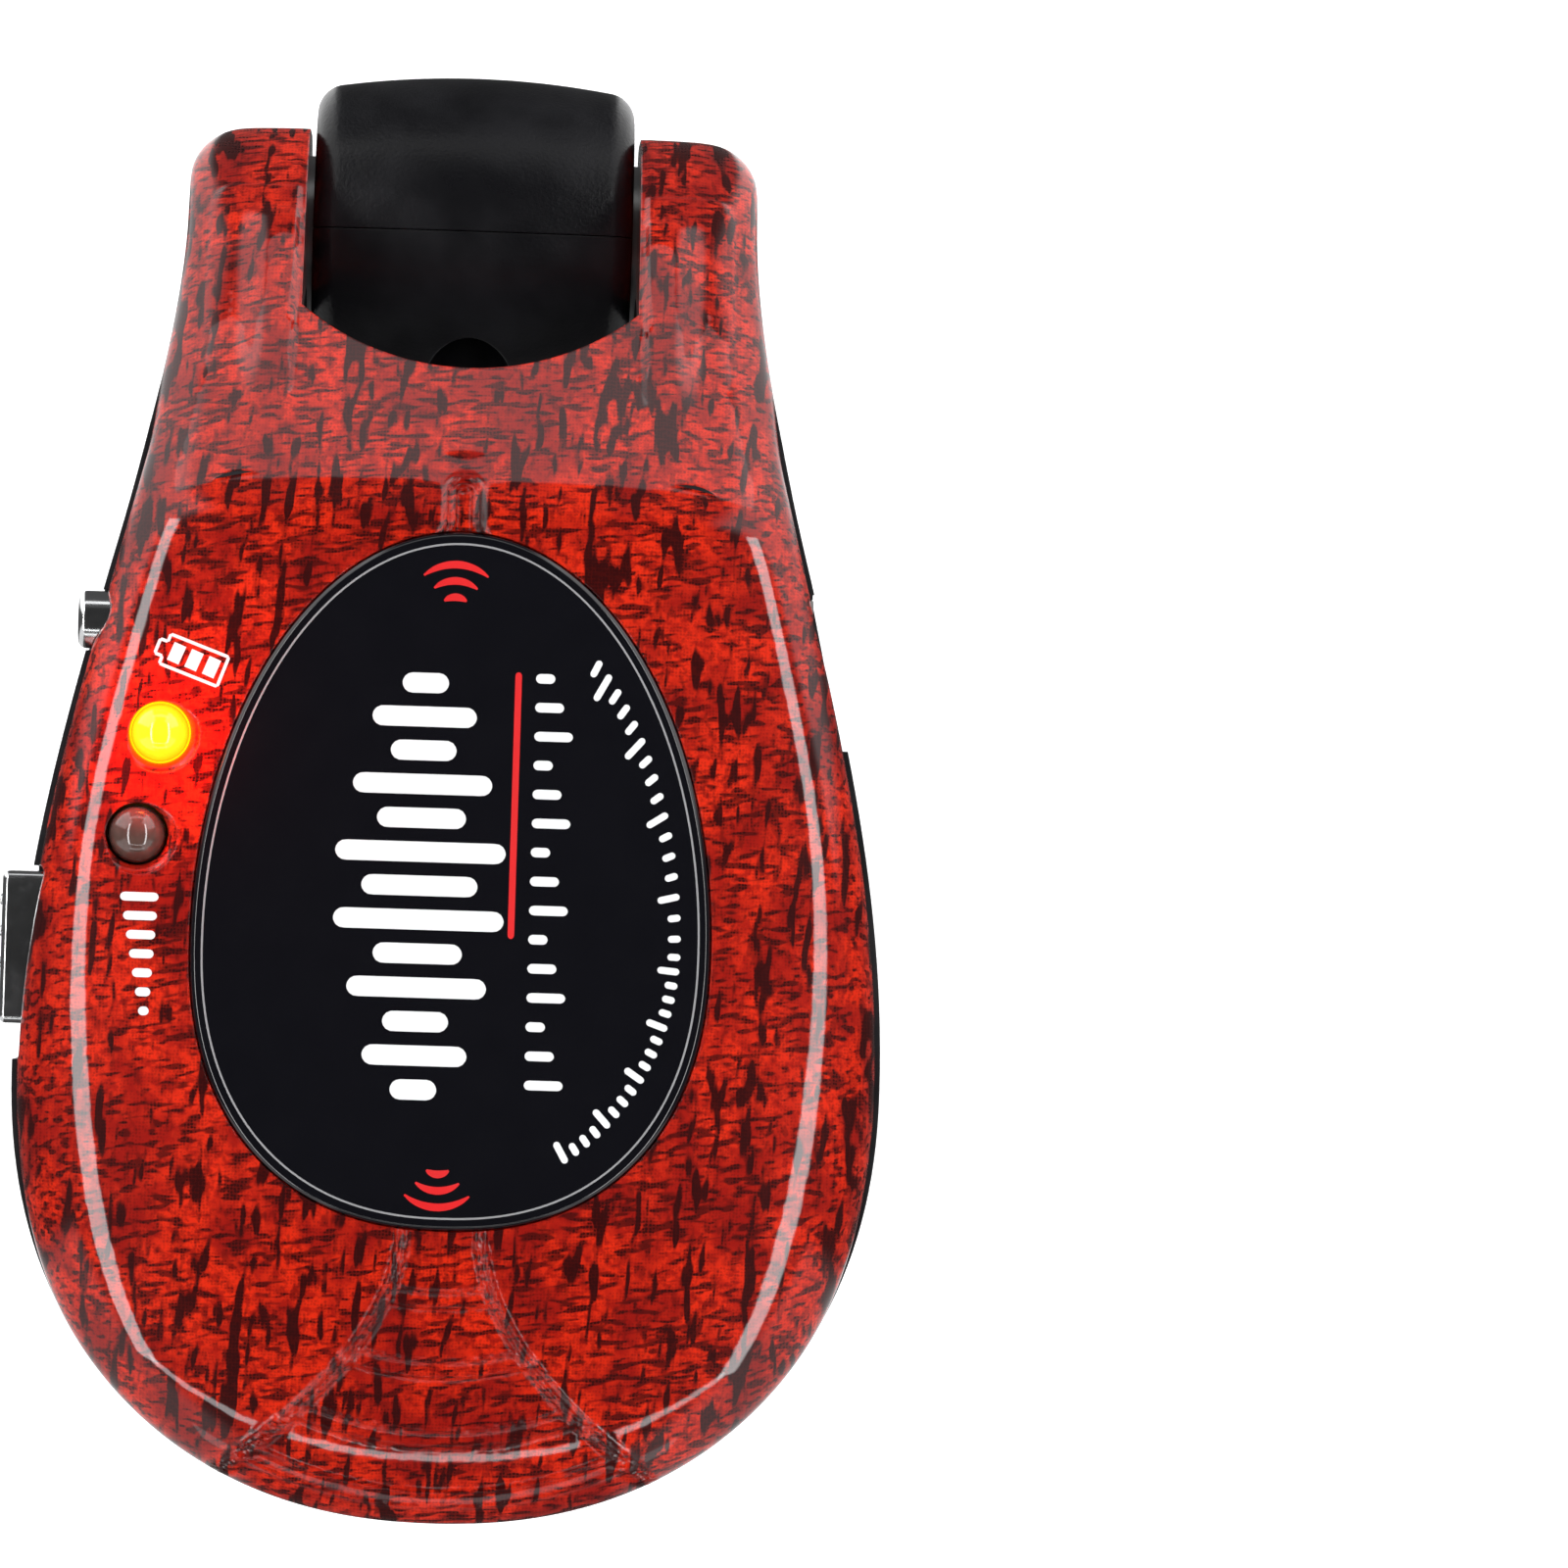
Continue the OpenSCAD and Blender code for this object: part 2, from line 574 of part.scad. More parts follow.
// ---- Hinge ----
module hinge_bushes() {
    color("lightgray") at_hinge() both_sides() difference() {
        union() {
            x_rod(bush_r, bush_in, bush_out + eps);
            x_rod(bush_flange_r, bush_out, bush_out + bush_flange_t);
        }
        x_rod(bush_bore, bush_in - 1, bush_out + 3);
    }
}
module friction_washers() {
    color("silver") at_hinge() both_sides() difference() {
        x_rod(washer_r, ear_gap_half + 0.57 - washer_t + 0.03, ear_gap_half + 0.57);
        x_rod(bush_r, 0, 20);
    }
}

// ---- Plug arm ----
neck_r = 6.74;
spigot_r = 5.4;
spigot_bore = 3.9;
spigot_z = 5;
arm_screw_z = 4.5;
sleeve_root_r = 3.9;      // the sleeve's root, inside the collar
barrel_flat = 6.9;
barrel_edge = 1;
arc_n = 8;
// Crowned profile: radius against distance from the centre plane, with rounded rims
function crown(x) = knuckle_r - 0.8 * pow(x / knuckle_half_w, 2);
module barrel() {
    w = knuckle_half_w;
    half = concat([for (i = [0:4]) let (x = (w - barrel_edge) * i / 4) [crown(x), x]],
        [for (i = [1:arc_n]) let (a = 90 * i / arc_n)
            [crown(w - barrel_edge) - barrel_edge * (1 - cos(a)), w - barrel_edge * (1 - sin(a))]]);
    rotate([0, 90, 0]) rotate_extrude($fn = 96)
        polygon(concat([[0, w]], [for (i = [len(half) - 1:-1:0]) half[i]],
            [for (i = [1:len(half) - 1]) [half[i][0], -half[i][1]]], [[0, -w]]));
}
module knuckle() {
    difference() {
        union() {
            at_hinge() difference() {
                barrel();
                translate([-20, -20, -20 - barrel_flat]) cube([40, 40, 20]);
            }
            z_rod(neck_r, collar_l, hinge_z - 4);
            z_rod(spigot_r, spigot_z, collar_l + eps);
        }
        z_rod(spigot_bore, 0, hinge_z - 3.2);
        at_hinge() {
            translate([-bush_in + 0.1, -3, -4]) cube([2 * bush_in - 0.2, 6, 6.2]);
            x_rod(bush_r + bush_clear, -20, -bush_in + 0.2);
            x_rod(bush_r + bush_clear, bush_in - 0.2, 20);
        }
    }
}
module y_rod(r, y0, y1) { translate([0, y0, 0]) rotate([-90, 0, 0]) cylinder(r = r, h = y1 - y0); }
module knuckle_inner() {
    color("#1c1c20") difference() {
        intersection() { knuckle(); translate([-20, -20, 0]) cube([40, 20, 60]); }
        at_hinge() translate([0, 0, arm_screw_z]) {
            y_rod(2.25, -20, -3.6);
            y_rod(screw_r + 0.12, -20, 1);
        }
    }
}
module knuckle_outer() {
    color("#1c1c20") difference() {
        intersection() { knuckle(); translate([-20, 0, 0]) cube([40, 20, 60]); }
        at_hinge() translate([0, 0, arm_screw_z]) y_rod(screw_r, -1, 4.8);
    }
}
module knuckle_screw() {
    color("dimgray") at_hinge() translate([0, -5, arm_screw_z]) rotate([-90, 0, 0])
        cross_screw(screw_head_r, screw_head_h, screw_r, 8);
}
module plug_collar() {
    straight_z = 6;
    nose_r = 5.3;
    color("#1c1c20") rotate_extrude($fn = 96) polygon([
        [sleeve_root_r, 0], [nose_r - 0.3, 0], [nose_r, 0.3], [collar_r, straight_z],
        [collar_r, collar_l - 0.25], [collar_r - 0.25, collar_l], [spigot_r + 0.03, collar_l],
        [spigot_r + 0.03, spigot_z], [4.6, spigot_z], [4.6, 3], [sleeve_root_r, 3]]);
}

insulator_l = 1.8;
tip_start = -sleeve_l - insulator_l;
core_r = 2.1;
rod_r = 1;
module plug_sleeve() {
    color("silver") difference() {
        union() {
            z_rod(sleeve_r, -sleeve_l, eps);
            z_rod(sleeve_root_r, 0, 3 + eps);
            z_rod(4.55, 3, spigot_z);
            z_rod(3.4, spigot_z - eps, 7.5);
        }
        z_rod(core_r, -sleeve_l - 1, 9);
    }
}
module plug_insulator() {
    color("#111111") difference() {
        union() {
            z_rod(2.98, tip_start, -sleeve_l);
            z_rod(core_r, -sleeve_l - eps, 7.5);
        }
        z_rod(rod_r, -40, 20);
    }
}
module plug_tip() { // collar, waist, bulge and blunt cone
    bulge_r = 2.95;
    waist_r = 1.95;
    color("silver") rotate_extrude($fn = 64) polygon(concat(
        [[rod_r, tip_start], [2.78, tip_start], [2.98, tip_start - 0.2], [2.98, tip_start - 0.9],
         [2.7, tip_start - 1.15]],
        [for (i = [0:6]) let (a = -60 + 20 * i) // waist as a hollow arc
            [waist_r + 0.8 * (1 - cos(a)), tip_start - 2.3 - 0.85 * sin(a)]],
        [for (i = [0:5]) let (a = 60 - 19 * i)  // shoulder of the bulge as a round arc
            [bulge_r - 1 * (1 - cos(a)), -29.4 + 1 * sin(a)]],
        [[1.05, -plug_l + 0.35], [0.72, -plug_l], [0, -plug_l], [0, -28.5], [rod_r, -28.5]]));
}
module plug_rod() {
    color("silver") {
        z_rod(rod_r, -28.5, 9.4);
        z_rod(1.5, 9.1, 9.7);
    }
}
module tag(z, ring_r, hole_r, x, top) { // ring terminal with an upright tab
    difference() { z_rod(ring_r, z, z + 0.4); z_rod(hole_r, z - 1, z + 1); }
    translate([x, -0.9, z]) cube([0.4, 1.8, top - z]);
}
module ground_lug() { color("gainsboro") tag(7.5, 3.4, core_r, 3, 12.4); }
module rear_insulator() {
    color("tan") difference() { z_rod(2.9, 7.9, 8.7); z_rod(rod_r, 7, 9); }
}
module tip_lug() { color("gainsboro") tag(8.7, 2.6, rod_r, -2.6, 13); }
module plug_lead() {
    color("#333333") {
        lead(whole([[6, 0, hinge_z], [4.6, 0, hinge_z], [3, 0, hinge_z - 0.7], [1.4, 0, hinge_z - 2.4],
                    [0.6, 0, hinge_z - 4.4], [0.4, 0, 16.8]], 3), lead_r, [0, 1, 0]);
        lead(whole([[0.2, 0, 17.2], [-0.4, 0, 15.6], [-1.2, 0, 14], [-1.85, 0, 12.6],
                    [-1.85, 0, 11.4]], 3), 0.35, [0, 1, 0]);
        lead(whole([[0.6, 0, 17.2], [1.2, 0, 15.4], [2.1, 0, 13.6], [2.65, 0, 12],
                    [2.65, 0, 10.8]], 3), 0.35, [0, 1, 0]);
    }
}

front_shell();
rear_shell();
badge();
rear_label();
shell_screws();
circuit_board();
board_screws();
shield_can();
radio_chip();
audio_chip();
charger_chip();
antenna();
battery_cell();
battery_pad();
battery_leads();
usb_socket();
slide_switch();
slider_lever();
slider_cap();
button_switch();
button_plunger();
button_cap();
battery_light();
signal_light();
board_lead();
hinge_bushes();
friction_washers();
knuckle_inner();
knuckle_outer();
knuckle_screw();
plug_collar();
plug_sleeve();
plug_insulator();
plug_tip();
plug_rod();
ground_lug();
rear_insulator();
tip_lug();
plug_lead();
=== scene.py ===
"""Looks of a hinged jack-plug radio transmitter for an electric guitar.

Lengths are in millimetres until a mesh is made, then in metres. Heights named
"height" are above the hinge axis. X runs across the housing, Y along it towards
the hinge, and Z up the plug.
"""

import json
import logging
import math
from collections.abc import Callable, Sequence
from dataclasses import dataclass, field
from enum import Enum

import bmesh
import bpy
import numpy as np
from mathutils import Matrix, Vector


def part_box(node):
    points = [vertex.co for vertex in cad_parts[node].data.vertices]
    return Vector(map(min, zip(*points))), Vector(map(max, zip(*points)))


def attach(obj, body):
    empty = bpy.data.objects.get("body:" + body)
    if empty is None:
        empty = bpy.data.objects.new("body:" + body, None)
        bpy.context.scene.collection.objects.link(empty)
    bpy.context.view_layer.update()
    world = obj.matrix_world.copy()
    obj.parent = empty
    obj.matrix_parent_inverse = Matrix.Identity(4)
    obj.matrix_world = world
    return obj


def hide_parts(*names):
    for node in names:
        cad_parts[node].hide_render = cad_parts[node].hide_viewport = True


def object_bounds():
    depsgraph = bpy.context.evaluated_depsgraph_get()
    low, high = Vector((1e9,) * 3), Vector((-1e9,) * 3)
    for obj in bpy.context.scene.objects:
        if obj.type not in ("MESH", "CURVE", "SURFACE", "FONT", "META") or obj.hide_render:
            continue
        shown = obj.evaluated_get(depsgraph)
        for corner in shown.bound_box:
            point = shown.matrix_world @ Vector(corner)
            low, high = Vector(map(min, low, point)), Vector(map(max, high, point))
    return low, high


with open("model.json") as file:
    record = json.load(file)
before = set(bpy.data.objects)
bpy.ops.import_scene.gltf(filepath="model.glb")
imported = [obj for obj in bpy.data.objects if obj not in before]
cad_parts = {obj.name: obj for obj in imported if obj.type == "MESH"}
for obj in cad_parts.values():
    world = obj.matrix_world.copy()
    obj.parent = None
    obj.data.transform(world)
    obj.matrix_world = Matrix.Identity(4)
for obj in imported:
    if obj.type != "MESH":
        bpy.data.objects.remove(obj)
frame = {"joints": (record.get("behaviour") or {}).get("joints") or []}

LOG = logging.getLogger("transmitter")
MM = 0.001
TINY = 1e-6
WELD = 1e-7
CAD_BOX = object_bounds()
HINGE = next(j["pos_m"][2] for j in frame["joints"] if j["name"] == "plug_hinge") / MM

Colour = tuple[float, float, float]
Spot = tuple[float, float]


# ---------------------------------------------------------------- mesh bench


class Axis(Enum):
    """Direction along which an outline is drawn out, and the order of its axes."""

    X = (2, 0, 1)
    Y = (0, 2, 1)
    Z = (0, 1, 2)


@dataclass
class Solid:
    """A closed surface being built.

    Args:
        points: Corner points in millimetres, one row each.
        faces: Rings of point numbers.
    """

    points: np.ndarray
    faces: list[list[int]] = field(default_factory=list)

    def moved(self, x: float = 0.0, y: float = 0.0, z: float = 0.0) -> "Solid":
        """Returns a copy shifted by x, y and z."""
        return Solid(self.points + np.array([x, y, z]), self.faces)

    def turned(self, matrix: Matrix) -> "Solid":
        """Returns a copy turned by a 3 by 3 matrix."""
        return Solid(self.points @ np.array(matrix.to_3x3()).T, self.faces)


def gathered(solids: Sequence[Solid]) -> Solid:
    """Puts several closed surfaces into one.

    Args:
        solids: The surfaces.

    Returns:
        One surface that holds them all.
    """
    points, faces, start = [], [], 0
    for solid in solids:
        points.append(solid.points)
        faces += [[i + start for i in face] for face in solid.faces]
        start += len(solid.points)
    return Solid(np.vstack(points), faces)


def loft(rings: np.ndarray) -> Solid:
    """Skins a row of closed rings and caps both ends.

    Args:
        rings: Array of ring, point, coordinate.

    Returns:
        The closed surface.
    """
    count, size, _ = rings.shape
    faces = [list(range(size))]
    for j in range(count - 1):
        for i in range(size):
            k = (i + 1) % size
            faces.append([j * size + i, (j + 1) * size + i, (j + 1) * size + k, j * size + k])
    faces.append([(count - 1) * size + i for i in range(size - 1, -1, -1)])
    return Solid(rings.reshape(-1, 3), faces)


def lathe(profile: Sequence[Spot], segments: int = 96, closed: bool = False) -> Solid:
    """Turns a profile about the Z axis.

    Args:
        profile: Radius and height of each point.
        segments: Number of steps round the axis.
        closed: True when the last point joins the first, as on a hollow piece.

    Returns:
        The turned surface. A point on the axis becomes one pole.
    """
    points, starts = [], []
    for radius, height in profile:
        starts.append((len(points), radius > TINY))
        turns = segments if radius > TINY else 1
        for i in range(turns):
            angle = 2 * math.pi * i / segments
            points.append((radius * math.cos(angle), radius * math.sin(angle), height))
    faces = []
    pairs = list(zip(starts, starts[1:])) + ([(starts[-1], starts[0])] if closed else [])
    for (a, a_ring), (b, b_ring) in pairs:
        for i in range(segments):
            k = (i + 1) % segments
            face = [a + i, a + k] if a_ring else [a]
            face += [b + k, b + i] if b_ring else [b]
            if len(face) > 2:
                faces.append(face)
    return Solid(np.array(points), faces)


def prism(outline: np.ndarray, axis: Axis, low: float, high: float) -> Solid:
    """Draws an outline out along an axis.

    Args:
        outline: Points of the outline: X and Y along Z, Y and Z along X, X and Z along Y.
        axis: Direction of the draw.
        low: Start along the axis.
        high: End along the axis.

    Returns:
        The closed prism.
    """
    rings = np.array([[(u, v, level) for u, v in outline] for level in (low, high)])
    return loft(rings[:, :, list(axis.value)])


def rounded_box(width: float, height: float, radius: float, steps: int = 6) -> np.ndarray:
    """Outline of a rectangle with round corners, centred on the origin.

    Args:
        width: Size along the first axis.
        height: Size along the second axis.
        radius: Corner radius.
        steps: Steps in each corner.

    Returns:
        The outline's points, anticlockwise.
    """
    points = []
    for corner, (sx, sy) in enumerate([(1, 1), (-1, 1), (-1, -1), (1, -1)]):
        for i in range(steps + 1):
            angle = math.radians(90 * (corner + i / steps))
            points.append((sx * (width / 2 - radius) + radius * math.cos(angle),
                           sy * (height / 2 - radius) + radius * math.sin(angle)))
    return np.array(points)


def rod(radius: float, axis: Axis, low: float, high: float, segments: int = 64) -> Solid:
    """Returns a plain rod about an axis through the origin, for drilling."""
    angles = np.linspace(0, 2 * math.pi, segments, endpoint=False)
    return prism(radius * np.column_stack([np.cos(angles), np.sin(angles)]), axis, low, high)


def stack(outline: Callable[[float], np.ndarray], profile: Sequence[Spot], axis: Axis) -> Solid:
    """Builds a solid whose outline shrinks level by level, for round-edged caps.

    Args:
        outline: Gives the outline taken in by a distance.
        profile: Distance taken in and level of each ring.
        axis: Direction of the levels.

    Returns:
        The closed solid.
    """
    rings = np.array([[(u, v, level) for u, v in outline(inset)] for inset, level in profile])
    return loft(rings[:, :, list(axis.value)])


def edge_roll(radius: float, start: float, end: float, steps: int = 5) -> list[Spot]:
    """Profile for stack: straight up from start, then a round edge that finishes at end.

    Args:
        radius: Radius of the edge.
        start: Level of the foot.
        end: Level of the top.
        steps: Steps in the edge.

    Returns:
        Distance taken in and level of each ring.
    """
    sign = 1 if end > start else -1
    roll = [(radius * (1 - math.cos(a)), end - sign * radius * (1 - math.sin(a)))
            for a in np.radians(np.linspace(0, 90, steps + 1))]
    return [(0.0, start)] + roll


def make_object(name: str, solid: Solid, finish: bpy.types.Material) -> bpy.types.Object:
    """Makes a Blender object of a surface, in metres and with its normals outwards.

    Args:
        name: Name of the object.
        solid: The surface.
        finish: Its material.

    Returns:
        The new object, linked to the scene.
    """
    mesh = bpy.data.meshes.new(name)
    mesh.from_pydata((solid.points * MM).tolist(), [], solid.faces)
    work = bmesh.new()
    work.from_mesh(mesh)
    bmesh.ops.remove_doubles(work, verts=work.verts, dist=WELD)
    bmesh.ops.recalc_face_normals(work, faces=work.faces)
    work.to_mesh(mesh)
    work.free()
    mesh.materials.append(finish)
    made = bpy.data.objects.new(name, mesh)
    bpy.context.scene.collection.objects.link(made)
    return made


def bake_modifiers(target: bpy.types.Object) -> None:
    """Applies every modifier of an object.

    Args:
        target: The object.
    """
    graph = bpy.context.evaluated_depsgraph_get()
    mesh = bpy.data.meshes.new_from_object(target.evaluated_get(graph))
    old = target.data
    target.modifiers.clear()
    target.data = mesh
    bpy.data.meshes.remove(old)


def cut(target: bpy.types.Object, tool: Solid, finish: bpy.types.Material,
        operation: str = "DIFFERENCE") -> None:
    """Cuts, keeps or adds a solid, and leaves the tool's finish on the faces it makes.

    Args:
        target: The object that is changed.
        tool: The solid that works on it.
        finish: Finish of the faces that come from the tool.
        operation: DIFFERENCE, INTERSECT or UNION.
    """
    helper = make_object("tool", tool, finish)
    modifier = target.modifiers.new("cut", "BOOLEAN")
    modifier.operation = operation
    modifier.solver = "EXACT"
    modifier.material_mode = "TRANSFER"
    modifier.object = helper
    bake_modifiers(target)
    bpy.data.objects.remove(helper)


def shade(target: bpy.types.Object, sharp_over: float = 34.0) -> None:
    """Smooths the shading, apart from edges sharper than an angle in degrees.

    Args:
        target: The object.
        sharp_over: The angle.
    """
    target.data.shade_smooth()
    target.data.set_sharp_from_angle(angle=math.radians(sharp_over))
    weighted = target.modifiers.new("even shading", "WEIGHTED_NORMAL")
    weighted.keep_sharp = True


def settle(piece: bpy.types.Object, body: str, slot: str, *nodes: str) -> bpy.types.Object:
    """Joins a piece to its body and hides the frame nodes that it stands for.

    Args:
        piece: The finished piece.
        body: Body that it moves with.
        slot: Not used.
        nodes: Frame nodes that it replaces.

    Returns:
        The same piece.
    """
    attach(piece, body)
    if nodes:
        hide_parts(*nodes)
    LOG.info("%s: %d faces, on %s", piece.name, len(piece.data.polygons), body)
    return piece


# ---------------------------------------------------------------- finishes


class Dyer:
    """Wires one material. Pattern scales are in steps per millimetre."""

    def __init__(self, name: str) -> None:
        """Starts a material with one Principled shader.

        Args:
            name: Name of the material.
        """
        self.material = bpy.data.materials.new(name)
        self.material.use_nodes = True
        self.nodes = self.material.node_tree.nodes
        self.links = self.material.node_tree.links
        self.shader = self.nodes["Principled BSDF"]
        self.place = self.nodes.new("ShaderNodeTexCoord").outputs["Object"]

    def fit(self, **values: object) -> None:
        """Sets shader sockets by name, with underscores for spaces.

        Args:
            values: A plain value, or the socket to wire in.
        """
        for name, value in values.items():
            socket = self.shader.inputs[name.replace("_", " ")]
            if isinstance(value, bpy.types.NodeSocket):
                self.links.new(value, socket)
            else:
                socket.default_value = (*value, 1.0) if isinstance(value, tuple) else value

    def spread(self, scale: Colour, turn: float = 0.0) -> bpy.types.NodeSocket:
        """Returns the piece's own coordinates, scaled and turned about Z in degrees.

        Args:
            scale: Steps per millimetre.
            turn: The turn.

        Returns:
            The vector socket.
        """
        node = self.nodes.new("ShaderNodeMapping")
        node.inputs["Scale"].default_value = [s / MM for s in scale]
        if turn:
            first = self.nodes.new("ShaderNodeMapping")
            first.inputs["Rotation"].default_value[2] = math.radians(turn)
            self.links.new(self.place, first.inputs["Vector"])
            self.links.new(first.outputs["Vector"], node.inputs["Vector"])
        else:
            self.links.new(self.place, node.inputs["Vector"])
        return node.outputs["Vector"]

    def noise(self, scale: Colour, detail: float = 3.0, rough: float = 0.5,
              turn: float = 0.0) -> bpy.types.NodeSocket:
        """Returns cloudy noise from 0 to 1.

        Args:
            scale: Steps per millimetre along X, Y and Z.
            detail: Octaves.
            rough: Share of each further octave.
            turn: Turn of the pattern about Z, in degrees.

        Returns:
            The noise.
        """
        node = self.nodes.new("ShaderNodeTexNoise")
        node.inputs["Scale"].default_value = 1.0
        node.inputs["Detail"].default_value = detail
        node.inputs["Roughness"].default_value = rough
        self.links.new(self.spread(scale, turn), node.inputs["Vector"])
        return node.outputs["Fac"]

    def dots(self, scale: float) -> bpy.types.NodeSocket:
        """Returns the distance to the nearest of scattered points, in steps.

        Args:
            scale: Points per millimetre.

        Returns:
            The distance.
        """
        node = self.nodes.new("ShaderNodeTexVoronoi")
        node.inputs["Scale"].default_value = 1.0
        node.inputs["Randomness"].default_value = 0.35
        self.links.new(self.spread((scale, scale, scale)), node.inputs["Vector"])
        return node.outputs["Distance"]

    def span(self, value: bpy.types.NodeSocket, low: float, high: float,
             to_low: float = 0.0, to_high: float = 1.0) -> bpy.types.NodeSocket:
        """Returns a value eased from low..high to to_low..to_high.

        Args:
            value: The value.
            low: Where it starts to change.
            high: Where it ends.
            to_low: Result at low.
            to_high: Result at high.

        Returns:
            The eased value.
        """
        node = self.nodes.new("ShaderNodeMapRange")
        node.interpolation_type = "SMOOTHSTEP"
        limits = (("From Min", low), ("From Max", high), ("To Min", to_low), ("To Max", to_high))
        for name, number in limits:
            node.inputs[name].default_value = number
        self.links.new(value, node.inputs["Value"])
        return node.outputs["Result"]

    def sum_up(self, operation: str, first: bpy.types.NodeSocket,
               second: bpy.types.NodeSocket | float) -> bpy.types.NodeSocket:
        """Returns a sum, product, largest or other plain operation on two values.

        Args:
            operation: Name of the operation.
            first: First value.
            second: Second value.

        Returns:
            The result.
        """
        node = self.nodes.new("ShaderNodeMath")
        node.operation = operation
        self.links.new(first, node.inputs[0])
        if isinstance(second, float):
            node.inputs[1].default_value = second
        else:
            self.links.new(second, node.inputs[1])
        return node.outputs[0]

    def dye(self, share: bpy.types.NodeSocket, first: Colour | bpy.types.NodeSocket,
            second: Colour | bpy.types.NodeSocket) -> bpy.types.NodeSocket:
        """Returns the first colour turned into the second by a share from 0 to 1.

        Args:
            share: The share.
            first: Colour at 0.
            second: Colour at 1.

        Returns:
            The colour.
        """
        node = self.nodes.new("ShaderNodeMix")
        node.data_type = "RGBA"
        self.links.new(share, node.inputs["Factor"])
        for number, colour in ((6, first), (7, second)):
            if isinstance(colour, tuple):
                node.inputs[number].default_value = (*colour, 1.0)
            else:
                self.links.new(colour, node.inputs[number])
        return node.outputs[2]

    def relief(self, height: bpy.types.NodeSocket, depth: float, strength: float = 1.0,
               under: bpy.types.NodeSocket | None = None) -> bpy.types.NodeSocket:
        """Returns a normal raised by a height from 0 to 1.

        Args:
            height: The height pattern.
            depth: Depth of the full height in millimetres.
            strength: Share of the effect.
            under: A normal to start from.

        Returns:
            The normal.
        """
        node = self.nodes.new("ShaderNodeBump")
        node.inputs["Distance"].default_value = depth * MM
        node.inputs["Strength"].default_value = strength
        self.links.new(height, node.inputs["Height"])
        if under is not None:
            self.links.new(under, node.inputs["Normal"])
        return node.outputs["Normal"]

    def worn_edges(self, radius: float) -> bpy.types.NodeSocket:
        """Returns a normal that rounds hard edges by a radius in millimetres.

        Args:
            radius: The radius.

        Returns:
            The normal.
        """
        node = self.nodes.new("ShaderNodeBevel")
        node.samples = 4
        node.inputs["Radius"].default_value = radius * MM
        return node.outputs["Normal"]


@dataclass(frozen=True)
class FiguredFilm:
    """Printed wood figure in red under a thick clear gloss.

    Args:
        name: Name of the material.
        light: Bright orange red between the strokes.
        deep: Darker red of the clouds.
        stroke: Maroon of the strokes.
    """

    name: str = "figured_red_film"
    light: Colour = (0.76, 0.024, 0.004)
    deep: Colour = (0.31, 0.0055, 0.0020)
    stroke: Colour = (0.030, 0.0010, 0.0010)

    def build(self) -> bpy.types.Material:
        """Returns the material: clouds, long strokes, cross ticks, print dots and gloss.

        Returns:
            The material.
        """
        dyer = Dyer(self.name)
        clouds = dyer.span(dyer.noise((0.34, 0.26, 0.26), 3.0, 0.6), 0.38, 0.66)
        base = dyer.dye(clouds, self.light, self.deep)
        mottle = dyer.span(dyer.noise((1.7, 2.1, 2.1), 3.0, 0.65, 8.0), 0.44, 0.66, 0.0, 0.80)
        base = dyer.dye(mottle, base, self.deep)
        columns = dyer.span(dyer.noise((1.05, 0.035, 0.035), 2.0, 0.6, 3.0), 0.36, 0.64, -0.08, 0.08)
        streaks = dyer.sum_up("ADD", dyer.noise((1.65, 0.42, 0.42), 1.3, 0.45, 4.0), columns)
        strokes = dyer.span(streaks, 0.54, 0.655, 0.0, 0.96)
        rows = dyer.span(dyer.noise((0.05, 0.75, 0.75), 2.0, 0.6, -4.0), 0.36, 0.64, -0.05, 0.05)
        weave = dyer.sum_up("ADD", dyer.noise((0.80, 3.0, 3.0), 1.3, 0.45, -7.0), rows)
        ticks = dyer.span(weave, 0.49, 0.64, 0.0, 0.80)
        fine = dyer.span(dyer.noise((2.6, 1.3, 1.3), 1.0, 0.5, 4.0), 0.53, 0.70, 0.0, 0.45)
        marks = dyer.sum_up("MAXIMUM", dyer.sum_up("MAXIMUM", strokes, ticks), fine)
        print_dots = dyer.span(dyer.dots(5.6), 0.18, 0.55, 0.34, 0.0)
        shade_by = dyer.sum_up("MINIMUM", dyer.sum_up("ADD", marks, print_dots), 1.0)
        ripple = dyer.noise((0.55, 0.55, 0.55), 2.0, 0.5)
        dyer.fit(Base_Color=dyer.dye(shade_by, base, self.stroke),
                 Roughness=dyer.span(clouds, 0.0, 1.0, 0.40, 0.50), Specular_IOR_Level=0.10,
                 IOR=1.45, Coat_Weight=1.0, Coat_Roughness=0.03, Coat_IOR=1.5)
        edges = dyer.worn_edges(0.16)
        normal = dyer.relief(ripple, 0.012, 0.5, edges)
        dyer.fit(Normal=normal, Coat_Normal=normal)
        return dyer.material


